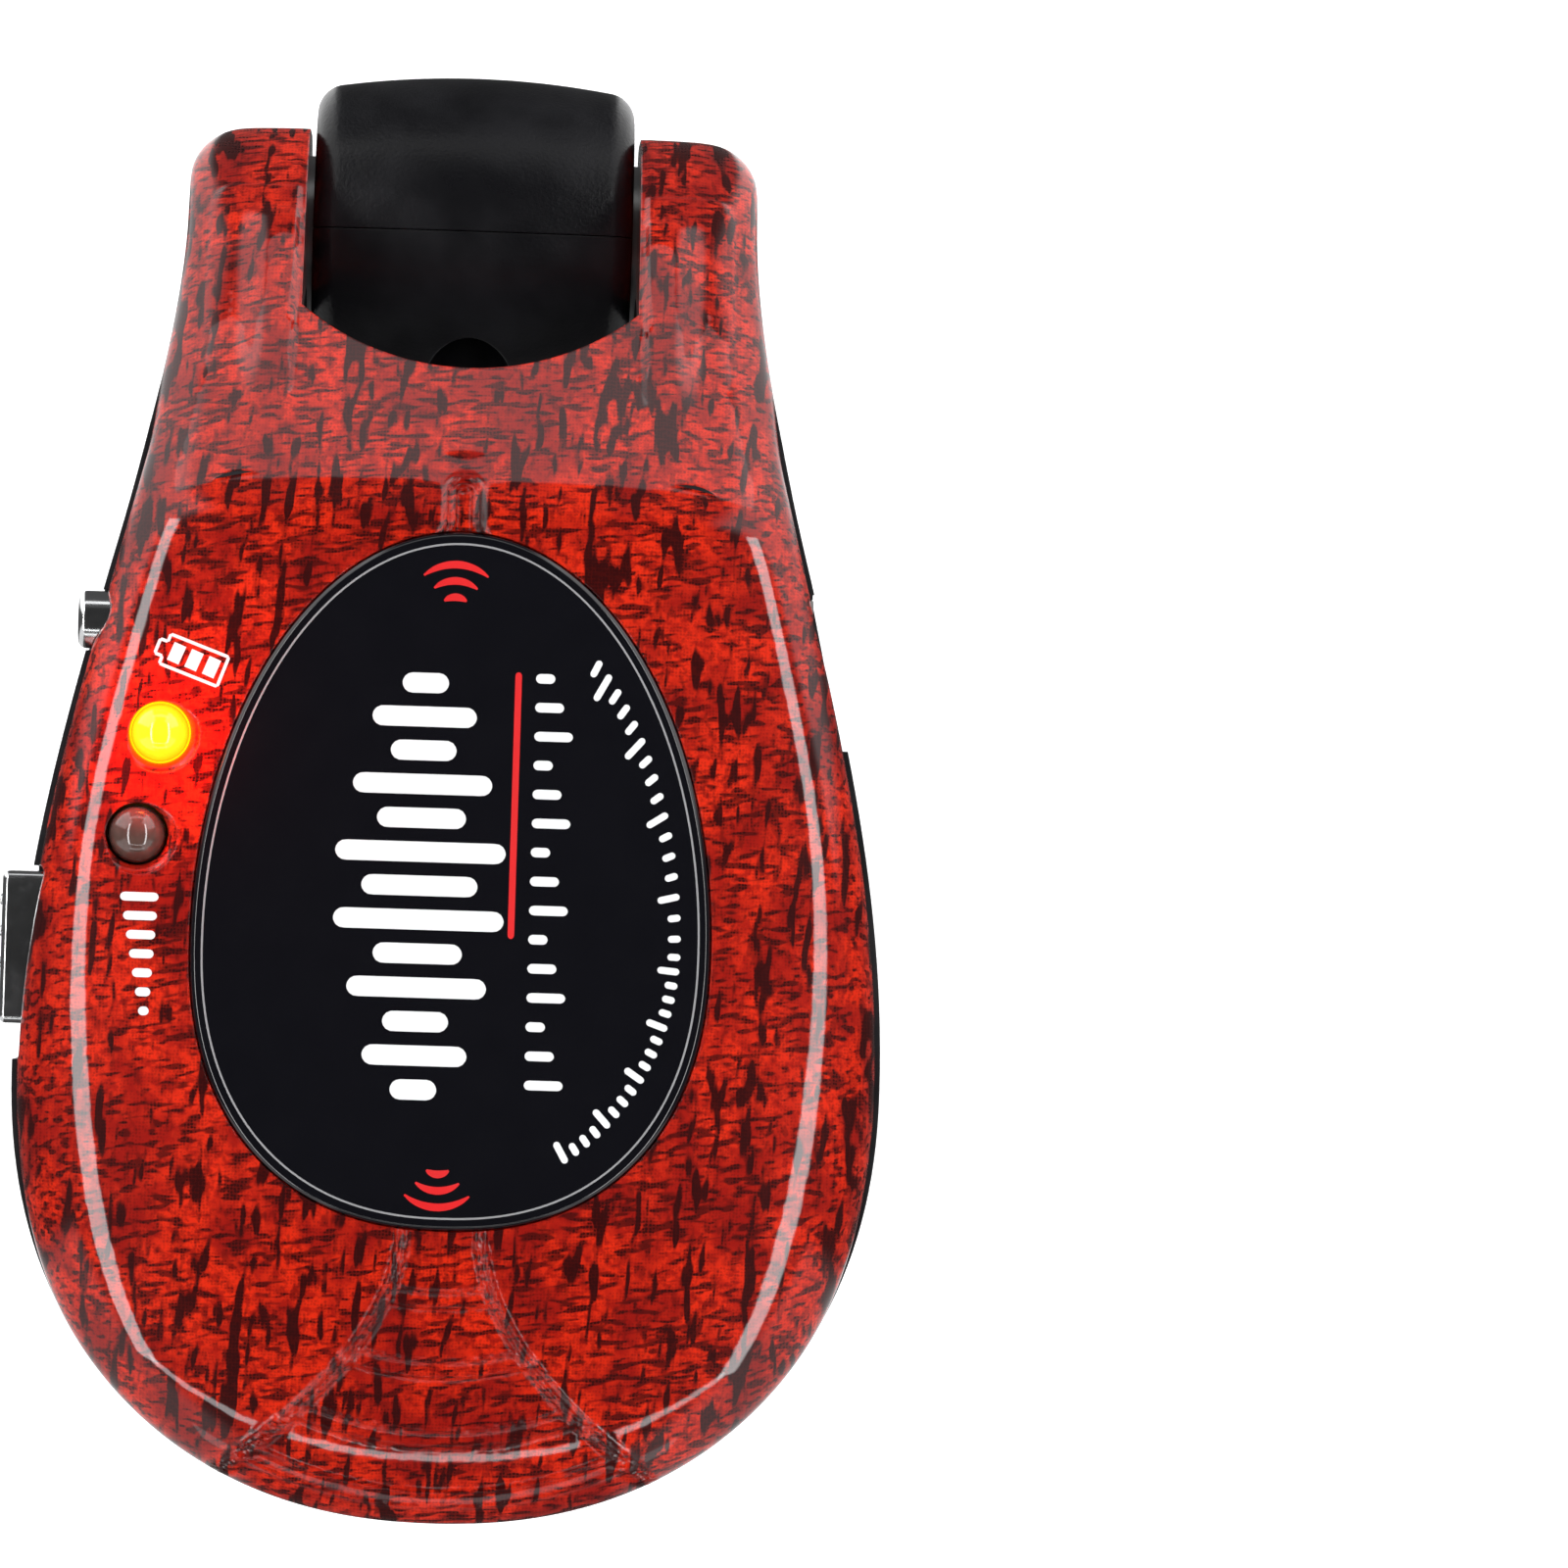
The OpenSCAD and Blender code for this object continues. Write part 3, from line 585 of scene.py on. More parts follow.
@dataclass(frozen=True)
class MouldedPlastic:
    """Moulded plastic with a spark-eroded grain.

    Args:
        name: Name of the material.
        colour: Colour of the plastic.
        roughness: Middle of its roughness.
        grain: Grain steps per millimetre.
        depth: Depth of the grain in millimetres.
        coat: Share of clear coat.
    """

    name: str
    colour: Colour = (0.0050, 0.0050, 0.0062)
    roughness: float = 0.32
    grain: float = 4.6
    depth: float = 0.020
    coat: float = 0.0

    def build(self) -> bpy.types.Material:
        """Returns the material: grain bump, patchy gloss and a little colour drift.

        Returns:
            The material.
        """
        dyer = Dyer(self.name)
        patches = dyer.noise((0.16, 0.16, 0.16), 3.0, 0.6)
        lighter = tuple(min(1.0, c * 1.7 + 0.002) for c in self.colour)
        grain = dyer.noise((self.grain,) * 3, 2.5, 0.55)
        dyer.fit(Base_Color=dyer.dye(dyer.span(patches, 0.35, 0.75), self.colour, lighter),
                 Roughness=dyer.span(patches, 0.3, 0.7, self.roughness - 0.05, self.roughness + 0.06),
                 Normal=dyer.relief(grain, self.depth, 1.0, dyer.worn_edges(0.12)),
                 Specular_IOR_Level=0.26, Coat_Weight=self.coat, Coat_Roughness=0.05)
        return dyer.material


@dataclass(frozen=True)
class PolishedMetal:
    """Plated or turned metal with fine marks.

    Args:
        name: Name of the material.
        colour: Reflected colour.
        roughness: Middle of its roughness.
        marks: Mark steps per millimetre along X, Y and Z.
        depth: Depth of the marks in millimetres.
    """

    name: str
    colour: Colour = (0.80, 0.76, 0.69)
    roughness: float = 0.10
    marks: Colour = (0.7, 0.7, 9.0)
    depth: float = 0.0012

    def build(self) -> bpy.types.Material:
        """Returns the material: metal with turning marks and faint stains.

        Returns:
            The material.
        """
        dyer = Dyer(self.name)
        stains = dyer.noise((0.35, 0.35, 0.35), 3.0, 0.65)
        lines = dyer.noise(self.marks, 2.0, 0.6)
        dulled = tuple(c * 0.86 for c in self.colour)
        gloss = dyer.sum_up("ADD", dyer.span(stains, 0.3, 0.75, self.roughness - 0.03, self.roughness + 0.05),
                            dyer.span(lines, 0.5, 0.8, 0.0, 0.05))
        dyer.fit(Base_Color=dyer.dye(dyer.span(stains, 0.4, 0.8), self.colour, dulled),
                 Metallic=1.0, Roughness=gloss, Normal=dyer.relief(lines, self.depth, 0.6))
        return dyer.material


@dataclass(frozen=True)
class GlossPaint:
    """Deep gloss lacquer or printed ink.

    Args:
        name: Name of the material.
        colour: Colour of the paint.
        roughness: Roughness of its surface.
        ripple: Depth of the surface's ripple in millimetres.
    """

    name: str
    colour: Colour = (0.004, 0.004, 0.006)
    roughness: float = 0.06
    ripple: float = 0.006

    def build(self) -> bpy.types.Material:
        """Returns the material: paint with a faint ripple and tone.

        Returns:
            The material.
        """
        dyer = Dyer(self.name)
        tone = dyer.noise((0.5, 0.5, 0.5), 2.0, 0.5)
        lighter = tuple(min(1.0, c * 1.12 + 0.0008) for c in self.colour)
        dyer.fit(Base_Color=dyer.dye(tone, self.colour, lighter),
                 Roughness=dyer.span(tone, 0.3, 0.7, self.roughness, self.roughness + 0.03),
                 Normal=dyer.relief(tone, self.ripple, 0.4), Coat_Weight=0.5, Coat_Roughness=0.03)
        return dyer.material


@dataclass(frozen=True)
class LampLens:
    """Epoxy lens of a small indicator light.

    Args:
        name: Name of the material.
        colour: Colour of the epoxy.
        glow: Colour of its light.
        power: Strength of its light, 0 when unlit.
    """

    name: str
    colour: Colour
    glow: Colour = (1.0, 0.7, 0.0)
    power: float = 0.0

    def build(self) -> bpy.types.Material:
        """Returns the material: tinted gloss epoxy, lit or unlit.

        Returns:
            The material.
        """
        dyer = Dyer(self.name)
        haze = dyer.noise((1.1, 1.1, 1.1), 2.0, 0.5)
        darker = tuple(c * 0.72 for c in self.colour)
        dyer.fit(Base_Color=dyer.dye(dyer.span(haze, 0.3, 0.7), self.colour, darker),
                 Roughness=dyer.span(haze, 0.3, 0.7, 0.07, 0.12), Coat_Weight=1.0, Coat_Roughness=0.02,
                 Subsurface_Weight=0.2, Subsurface_Radius=[0.001, 0.0006, 0.0004])
        if self.power:
            edge = tuple(c * f for c, f in zip(self.glow, (1.0, 0.86, 1.0)))
            dyer.fit(Emission_Color=dyer.dye(haze, self.glow, edge), Emission_Strength=self.power)
        return dyer.material


class Shop:
    """Every finish of the pieces made here, built once."""

    def __init__(self) -> None:
        """Builds the materials that the pieces share."""
        self.film = FiguredFilm().build()
        self.satin = MouldedPlastic("black_satin_plastic").build()
        self.shell_black = MouldedPlastic(
            "black_shell_plastic", (0.010, 0.010, 0.0115), 0.40, 5.5, 0.008).build()
        self.badge = GlossPaint("badge_gloss_black").build()
        self.white_ink = GlossPaint("white_ink", (0.86, 0.87, 0.88), 0.30, 0.010).build()
        self.red_ink = GlossPaint("red_ink", (0.72, 0.010, 0.012), 0.28, 0.010).build()
        # Grey ink for print, and for the painted rim highlight on the badge
        self.print_and_highlight_ink = GlossPaint("print_and_highlight_ink", (0.30, 0.30, 0.31), 0.40, 0.010).build()
        self.dark_ink = GlossPaint("label_ink", (0.015, 0.015, 0.018), 0.45, 0.010).build()
        self.nickel = PolishedMetal("warm_nickel", (0.83, 0.775, 0.69), 0.075).build()
        self.chrome = PolishedMetal(
            "bright_chrome", (0.86, 0.87, 0.88), 0.16, (1.0, 1.0, 1.0), 0.0008).build()
        self.lit = LampLens("lit_yellow_lens", (0.95, 0.62, 0.02), (1.0, 0.62, 0.004), 1.25).build()
        self.unlit = LampLens("smoky_lens", (0.135, 0.075, 0.062)).build()
        self.insulator = MouldedPlastic(
            "gloss_black_insulator", (0.008, 0.008, 0.009), 0.16, 1.5, 0.004, 0.6).build()


# ---------------------------------------------------------------- housing form


def soft_least(first: np.ndarray, second: np.ndarray, ease: float) -> np.ndarray:
    """Returns the smaller of two values with a soft change between them."""
    return (first + second) / 2 - np.sqrt(((first - second) / 2) ** 2 + ease**2)


def ease(value: np.ndarray, low: float, high: float) -> np.ndarray:
    """Returns 0 at low and 1 at high with a smooth path between them."""
    share = np.clip((value - low) / (high - low), 0, 1)
    return share * share * (3 - 2 * share)


def ridge(distance: np.ndarray, width: float) -> np.ndarray:
    """Returns a round ridge of height 1 over a distance of 0."""
    return np.exp(-((distance / width) ** 2))


@dataclass(frozen=True)
class HousingForm:
    """Formulas of the housing's surface, with heights above the hinge axis."""

    half_width: float = 22.592
    round_end: float = 23.2
    ear_half: float = 15.2
    crest_height: float = 30.3
    joint_height: float = 24.4
    back_height: float = 10.6
    back_slope: float = 0.0305
    wall: float = 1.8
    waist: float = -45.0
    ear_end: float = 5.4
    ear_corner: float = 3.0
    lug: tuple[float, float, float] = (0.4, 0.4, 5.0)
    fillet: float = 4.0
    plan_power: float = 2.2
    rim_power: float = 3.5
    bowl: float = 0.235
    gap_half: float = 8.9
    notch: tuple[float, float] = (6.2, 14.0)
    joint_line: tuple[Spot, ...] = (
        (-80, 24.4), (-45, 24.4), (-36, 24.1), (-28, 23.3), (-20.4, 22), (-13.4, 19.6), (-8, 17),
        (-5.4, 13.8), (-4.1, 10), (-3.2, 5), (-2.6, 0), (12, 0))

    @property
    def fillet_y(self) -> float:
        """Place along Y where the back turns down into the ears."""
        return self.lug[0] - self.lug[2] - self.fillet

    def end_share(self, y: np.ndarray, inset: float = 0.0) -> np.ndarray:
        """Returns how far a station lies into the round end, from 0 to 1."""
        return np.clip((self.waist - y) / (self.round_end - inset), 0, 1)

    def half_at(self, y: np.ndarray, inset: float = 0.0) -> np.ndarray:
        """Returns the half-width of the widest outline at a station.

        Args:
            y: Station along Y.
            inset: Distance taken in.

        Returns:
            The half-width.
        """
        y = np.asarray(y, float)
        left = 1 - self.end_share(y, inset) ** self.plan_power
        end = (self.half_width - inset) * left ** (1 / self.plan_power)
        flare = (self.half_width - self.ear_half) * np.sin(np.clip(y / self.waist, 0, 1) * math.pi / 2) ** 1.7
        corner_y = self.ear_end - self.ear_corner
        over = np.clip(y - corner_y, 0, self.ear_corner)
        corner = np.sqrt(self.ear_corner**2 - over**2) - self.ear_corner
        return np.where(y < self.waist, end, self.ear_half - inset + flare + corner)

    def crest(self, y: np.ndarray) -> np.ndarray:
        """Returns the height of the middle line before the round end rolls off.

        Args:
            y: Station along Y.

        Returns:
            The height.
        """
        rise = self.crest_height - 0.155 * (np.sqrt((y + 52) ** 2 + 16) - 4)
        nose = self.crest_height - 4.3 - 0.7 * (y + 16.6)
        tip = 4 * (1 - np.sqrt(np.clip(1 - (np.clip(y + 1.1, 0, None) / 6.5) ** 2, 0, 1)))
        return soft_least(rise, nose, 0.5) - tip

    def shoulder(self, y: np.ndarray) -> np.ndarray:
        """Returns the height where the front turns into the side."""
        return soft_least(self.joint_height, self.crest(y) - 3.4, 0.4)

    def top(self, y: np.ndarray, inset: float = 0.0) -> np.ndarray:
        """Returns the height of the middle line of the front."""
        roll = (1 - self.end_share(y, inset) ** self.plan_power) ** (1 / self.rim_power)
        return self.shoulder(y) + (self.crest(y) - inset - self.shoulder(y)) * roll

    def front(self, x: np.ndarray, y: np.ndarray) -> np.ndarray:
        """Returns the height of the front at a point of the plan.

        Args:
            x: Place across.
            y: Station along Y.

        Returns:
            The height.
        """
        share = np.clip(np.abs(x) / np.maximum(self.half_at(y), TINY), 0, 1)
        roll = (1 - share**self.plan_power) ** (1 / self.rim_power)
        return self.shoulder(y) + (self.top(y) - self.shoulder(y)) * roll

    def back_plane(self, y: float) -> float:
        """Returns the height of the flat back."""
        return self.back_height + self.back_slope * (y + 10)

    def back(self, y: float) -> float:
        """Returns the height of the back, which turns down behind the ears.

        Args:
            y: Station along Y.

        Returns:
            The height.
        """
        lug_y, lug_z, lug_r = self.lug
        if y < self.fillet_y:
            return self.back_plane(y)
        if y < lug_y - lug_r:
            drop = math.sqrt(max(0.0, self.fillet**2 - (y - self.fillet_y) ** 2))
            return self.back_plane(self.fillet_y) - self.fillet + drop
        return lug_z - math.sqrt(max(0.0, lug_r**2 - (y - lug_y) ** 2))

    def side(self, y: float, share: np.ndarray, inset: float = 0.0) -> np.ndarray:
        """Returns the half-width between the shoulder, share 0, and the back, share 1.

        Args:
            y: Station along Y.
            share: Place between them.
            inset: Distance taken in.

        Returns:
            The half-width.
        """
        if y > self.waist:
            pull = self.bowl * float(np.clip((-5 - y) / 7, 0, 1))
            return float(self.half_at(y, inset)) * (1 - pull * share**2)
        drawn = 1 - self.bowl * share**2
        into = np.clip((self.waist - y) / ((self.round_end - inset) * drawn), 0, 1)
        return (self.half_width - inset) * drawn * (1 - into**self.plan_power) ** (1 / self.plan_power)

    def section(self, y: float, inset: float, counts: tuple[int, int, int], tuck: float = 0.0) -> np.ndarray:
        """Right half of one cross section, from the crest round to the middle of the back.

        Args:
            y: Station.
            inset: Distance taken in, for the inside.
            counts: Steps in the front, the side and the back corner.
            tuck: Further distance that the sides stand back.

        Returns:
            X and height of each point.
        """
        top_n, side_n, corner_n = counts
        width = float(self.half_at(y, inset))
        shoulder = float(self.shoulder(y))
        rise = float(self.top(y, inset)) - shoulder
        reach = 1.0
        if y <= self.waist:
            into = (self.waist - y) / (self.round_end - inset)
            reach = min(1.0, math.sqrt(max(0.0, (1 - into) / self.bowl)))
        low = shoulder - (shoulder - self.back(y) - inset) * reach
        deep = max(shoulder - low, 1e-4)
        end_x = float(self.side(y, np.array(reach), inset))
        round_off = min(1.4 if y < self.fillet_y else self.ear_corner, 0.45 * deep, 0.6 * end_x)
        last = reach * (1 - round_off / deep)
        angles = np.radians(np.interp(np.linspace(0, 1, top_n + 1), [0, 0.6, 1], [0, 27.5, 90]))
        front = np.column_stack([width * np.sin(angles) ** (2 / self.plan_power),
                                 shoulder + rise * np.clip(np.cos(angles), 0, 1) ** (2 / self.rim_power)])
        shares = last * (1 - (1 - np.arange(1, side_n) / side_n) ** 1.6)
        wall = np.column_stack([self.side(y, shares, inset), shoulder - deep * shares / max(reach, TINY)])
        start = np.array([float(self.side(y, np.array(last), inset)),
                          shoulder - deep * last / max(reach, TINY)])
        knee, end = np.array([end_x, low]), np.array([end_x - round_off, low])
        t = np.linspace(0, 1, corner_n + 1)[:, None]
        corner = (1 - t) ** 2 * start + 2 * t * (1 - t) * knee + t**2 * end
        half = np.vstack([front, wall, corner, [[0, low]]])
        half[:, 0] *= 1 - tuck / max(width, 2 * tuck + TINY)
        return half

    def body(self, stations: np.ndarray, inset: float, counts: tuple[int, int, int],
             tuck: Callable[[float], float] | None = None,
             carve: Callable[[np.ndarray, np.ndarray], np.ndarray] | None = None) -> Solid:
        """Skins the housing through its stations.

        Args:
            stations: Places along Y.
            inset: Distance taken in.
            counts: Steps in each cross section.
            tuck: Distance that the sides stand back at a station.
            carve: Relief of the front at X and Y.

        Returns:
            The closed solid in the frame's heights.
        """
        rings = []
        for y in stations:
            half = self.section(float(y), inset, counts, tuck(float(y)) if tuck else 0.0)
            if carve:
                front = slice(0, counts[0])
                half[front, 1] += carve(half[front, 0], np.full(counts[0], y))
            mirrored = half[-2:0:-1] * np.array([-1, 1])
            ring = np.vstack([half, mirrored])
            rings.append(np.column_stack([ring[:, 0], np.full(len(ring), y), ring[:, 1] + HINGE]))
        return loft(np.array(rings))

    def joint_curve(self) -> np.ndarray:
        """Returns the joint line between the shells, smoothed through its points.

        Returns:
            Station and height of each point.
        """
        given = np.array(self.joint_line, float)
        smooth = [given[0], given[1]]
        for i in range(1, len(given) - 3):
            before, start, end, after = given[i - 1], given[i], given[i + 1], given[i + 2]
            before = start - (end - start) if i == 1 else before
            for t in np.linspace(0, 1, 7)[1:]:
                smooth.append(0.5 * (2 * start + (end - before) * t
                                     + (2 * before - 5 * start + 4 * end - after) * t**2
                                     + (3 * start - before - 3 * end + after) * t**3))
        return np.vstack([smooth, given[-2:]])

    def over_joint(self) -> Solid:
        """Returns all the space on the front's side of the joint line."""
        curve = self.joint_curve() + np.array([0, HINGE])
        return prism(np.vstack([curve, [[12, 90], [-80, 90]]]), Axis.X, -60, 60)

    def knuckle_room(self) -> Solid:
        """Returns the room for the knuckle: straight cheeks and an arched rear wall.

        Returns:
            The room as a solid.
        """
        centre, radius = self.notch
        across = np.linspace(-self.gap_half, self.gap_half, 61)
        arch = np.column_stack([across, centre - np.sqrt(radius**2 - across**2)])
        return prism(np.vstack([arch, [[self.gap_half, 40], [-self.gap_half, 40]]]), Axis.Z, -20, 120)


FORM = HousingForm()


@dataclass(frozen=True)
class BadgeForm:
    """Egg outline of the badge."""

    middle: float = -38.0
    half_width: float = 13.44
    up: float = 21.4
    down: float = 14.7
    proud: float = 0.23
    sink: float = 0.8
    gap: float = 0.06

    def outline(self, grow: float = 0.0, steps: int = 160) -> np.ndarray:
        """Returns the egg's outline in the plan, grown by a distance.

        Args:
            grow: The distance.
            steps: Number of points.

        Returns:
            The outline.
        """
        t = np.linspace(0, 2 * math.pi, steps, endpoint=False)
        c, s = np.cos(t), np.sin(t)
        power = np.where(s > 0, 2.0, 2.3)
        length = np.where(s > 0, self.up, self.down) + grow
        return np.column_stack([(self.half_width + grow) * np.sign(c) * np.abs(c) ** (2 / power),
                                self.middle + length * np.sign(s) * np.abs(s) ** (2 / power)])

    def layer(self, grow: float, share: float, lift: float) -> np.ndarray:
        """Returns one ring of the egg, shrunk by a share and lifted off the front.

        Args:
            grow: Distance that the outline is grown by.
            share: The share.
            lift: Height off the front.

        Returns:
            The ring.
        """
        plan = self.outline(grow)
        plan = np.array([0, self.middle]) + (plan - np.array([0, self.middle])) * share
        return np.column_stack([plan, HINGE + FORM.front(plan[:, 0], plan[:, 1]) + lift])

    def slab(self, grow: float, low: float, high: float, edge: float) -> Solid:
        """Builds the egg between two offsets of the front, with a round top edge.

        Args:
            grow: Distance that the outline is grown by.
            low: Offset of the underside.
            high: Offset of the top.
            edge: Radius of the top edge.

        Returns:
            The closed solid.
        """
        inner = list(np.linspace(0.02, 1.0, 22)[:-1])
        rings = [self.layer(grow, s * (1 - edge / self.half_width), low) for s in inner]
        rings += [self.layer(grow, 1.0, low)]
        for angle in np.radians(np.linspace(0, 90, 6 if edge else 1)):
            taken, sunk = edge * (1 - math.cos(angle)), edge * (1 - math.sin(angle))
            rings.append(self.layer(grow - taken, 1.0, high - sunk))
        rings += [self.layer(grow - edge, s, high) for s in inner[::-1]]
        return loft(np.array(rings))


BADGE = BadgeForm()


@dataclass(frozen=True)
class FrontRelief:
    """Fine relief of the front: ear steps, the arch above the badge and the fan below it."""

    step_start: float = -11.6
    fan_centre: float = -44.5
    fan_top: float = -52.7
    fan_length: float = 12.3
    fan_spread: float = 8.3
    fan_steep: float = 15.77
    fan_bands: tuple[float, ...] = (11.8, 15.4, 19.05, 22.35)
    line: float = 0.125
    height: float = 0.26

    def fan_half(self, y: np.ndarray) -> np.ndarray:
        """Returns the fan's half-width at a station."""
        return 1.8 + self.fan_spread * np.clip((self.fan_top - y) / self.fan_length, 0, None) ** 1.9

    def fan(self, x: np.ndarray, y: np.ndarray) -> np.ndarray:
        """Returns the relief of the fan: two double side lines and four cross bands.

        Args:
            x: Place across.
            y: Station along Y.

        Returns:
            The height.
        """
        across = np.abs(x)
        half = self.fan_half(y)
        along = np.clip((self.fan_top - y) / self.fan_length, 0, None)
        slope = self.fan_steep / self.fan_length * along**0.9
        off = (across - half) / np.sqrt(1 + slope**2)
        alive = ease(y, -66.6, -65.6) * (y < self.fan_top + 0.6)
        sides = (ridge(off, self.line) + ridge(off - 0.42, self.line)) * alive
        inside = ease(-off, -0.1, 0.15)
        rho = np.sqrt(x**2 + (y - self.fan_centre) ** 2)
        bands = sum(ease(rho, r - 0.52, r - 0.30) - ease(rho, r + 0.30, r + 0.52)
                    for r in self.fan_bands)
        edges = sum(ridge(np.abs(rho - r) - 0.42, 0.10) for r in self.fan_bands)
        bosses = sum(ridge(np.hypot(off - 0.2, rho - r - 0.45), 0.26) for r in self.fan_bands)
        below = ease(self.fan_top - y, 0.4, 0.9)
        panel = (0.5 * bands + 0.75 * edges) * inside * below - 0.35 * inside * below
        return self.height * (sides + panel + 0.8 * bosses * below * alive)

    def arch(self, x: np.ndarray, y: np.ndarray) -> np.ndarray:
        """Returns the relief of the small double arch above the badge.

        Args:
            x: Place across.
            y: Station along Y.

        Returns:
            The height.
        """
        centre = -14.55
        past = np.clip(y - centre, 0, None)
        from_line = np.hypot(x, past)
        spread = 0.16 * np.clip(-15.9 - y, 0, 1) ** 2 * 3
        outer = ridge(from_line - 0.92 - spread, 0.13)
        inner = ridge(from_line - 0.52 - spread, 0.12)
        hollow = ease(-from_line, -0.50, -0.30)
        pad = ridge(np.hypot(x, (y - centre) * 1.5), 0.22)
        dimple = ridge(np.hypot(x / 1.5, (y + 13.0) / 0.8), 0.9)
        near = ease(-y, 12.0, 12.6) * (y > -17.4)
        return (0.30 * outer + 0.24 * inner - 0.14 * hollow + 0.18 * pad - 0.07 * dimple) * near

    def ears(self, x: np.ndarray, y: np.ndarray) -> np.ndarray:
        """Returns the step between the ears and the web, and the raised pad of each ear.

        Args:
            x: Place across.
            y: Station along Y.

        Returns:
            The height.
        """
        across = np.abs(x)
        grown = ease(y, self.step_start - 2.4, -4.0)
        web = -0.28 * grown * (1 - ease(across, 8.95, 9.55))
        cheek = 0.32 * grown * ease(across, 9.0, 9.6) * (1 - ease(across, 10.5, 12.5)) * (y < 0.5)
        groove = -0.10 * ridge(across - 9.75, 0.22) * ease(y, self.step_start - 0.8, self.step_start + 1)
        corner = np.hypot(np.clip(across - 12.6, 0, None), np.clip(y - 0.6, 0, None))
        rim = np.where((across > 12.6) | (y > 0.6), corner - 1.35, -9.0)
        pad = 0.12 * (1 - ease(rim, -0.07, 0.07)) * (across > 9.4) * ease(y, -8.5, -5.5)
        return web + cheek + groove + pad

    def carve(self, x: np.ndarray, y: np.ndarray) -> np.ndarray:
        """Returns the whole relief at a point of the plan."""
        return self.fan(x, y) + self.arch(x, y) + self.ears(x, y)


# ---------------------------------------------------------------- printed marks


Surface = Callable[[np.ndarray, np.ndarray, float], np.ndarray]


def on_front(u: np.ndarray, v: np.ndarray, lift: float) -> np.ndarray:
    """Returns points that lie on the front, lifted by a distance."""
    return np.stack([u, v, HINGE + FORM.front(u, v) + lift], axis=-1)


def on_badge(u: np.ndarray, v: np.ndarray, lift: float) -> np.ndarray:
    """Returns points that lie on the badge, lifted by a distance."""
    return on_front(u, v, BADGE.proud + lift)


def on_left_side(u: np.ndarray, v: np.ndarray, lift: float) -> np.ndarray:
    """Returns points on the left side of the bowl, from a station and a height above the hinge.

    Args:
        u: Stations along Y.
        v: Heights above the hinge.
        lift: Distance off the surface.

    Returns:
        The points.
    """
    flat_u, flat_v = np.ravel(u), np.ravel(v)
    across = []
    for y, z in zip(flat_u, flat_v):
        shoulder = float(FORM.shoulder(y))
        share = np.array(max(0.0, (shoulder - z) / (shoulder - FORM.back(float(y)))))
        across.append(-float(FORM.side(float(y), share)) - lift)
    return np.stack([np.reshape(across, np.shape(u)), u, v + HINGE], axis=-1)


def on_back(u: np.ndarray, v: np.ndarray, lift: float) -> np.ndarray:
    """Returns points on the label's face, lifted downwards."""
    plane = HINGE + FORM.back_height + FORM.back_slope * (v + 10)
    return np.stack([u, v, plane - lift], axis=-1)


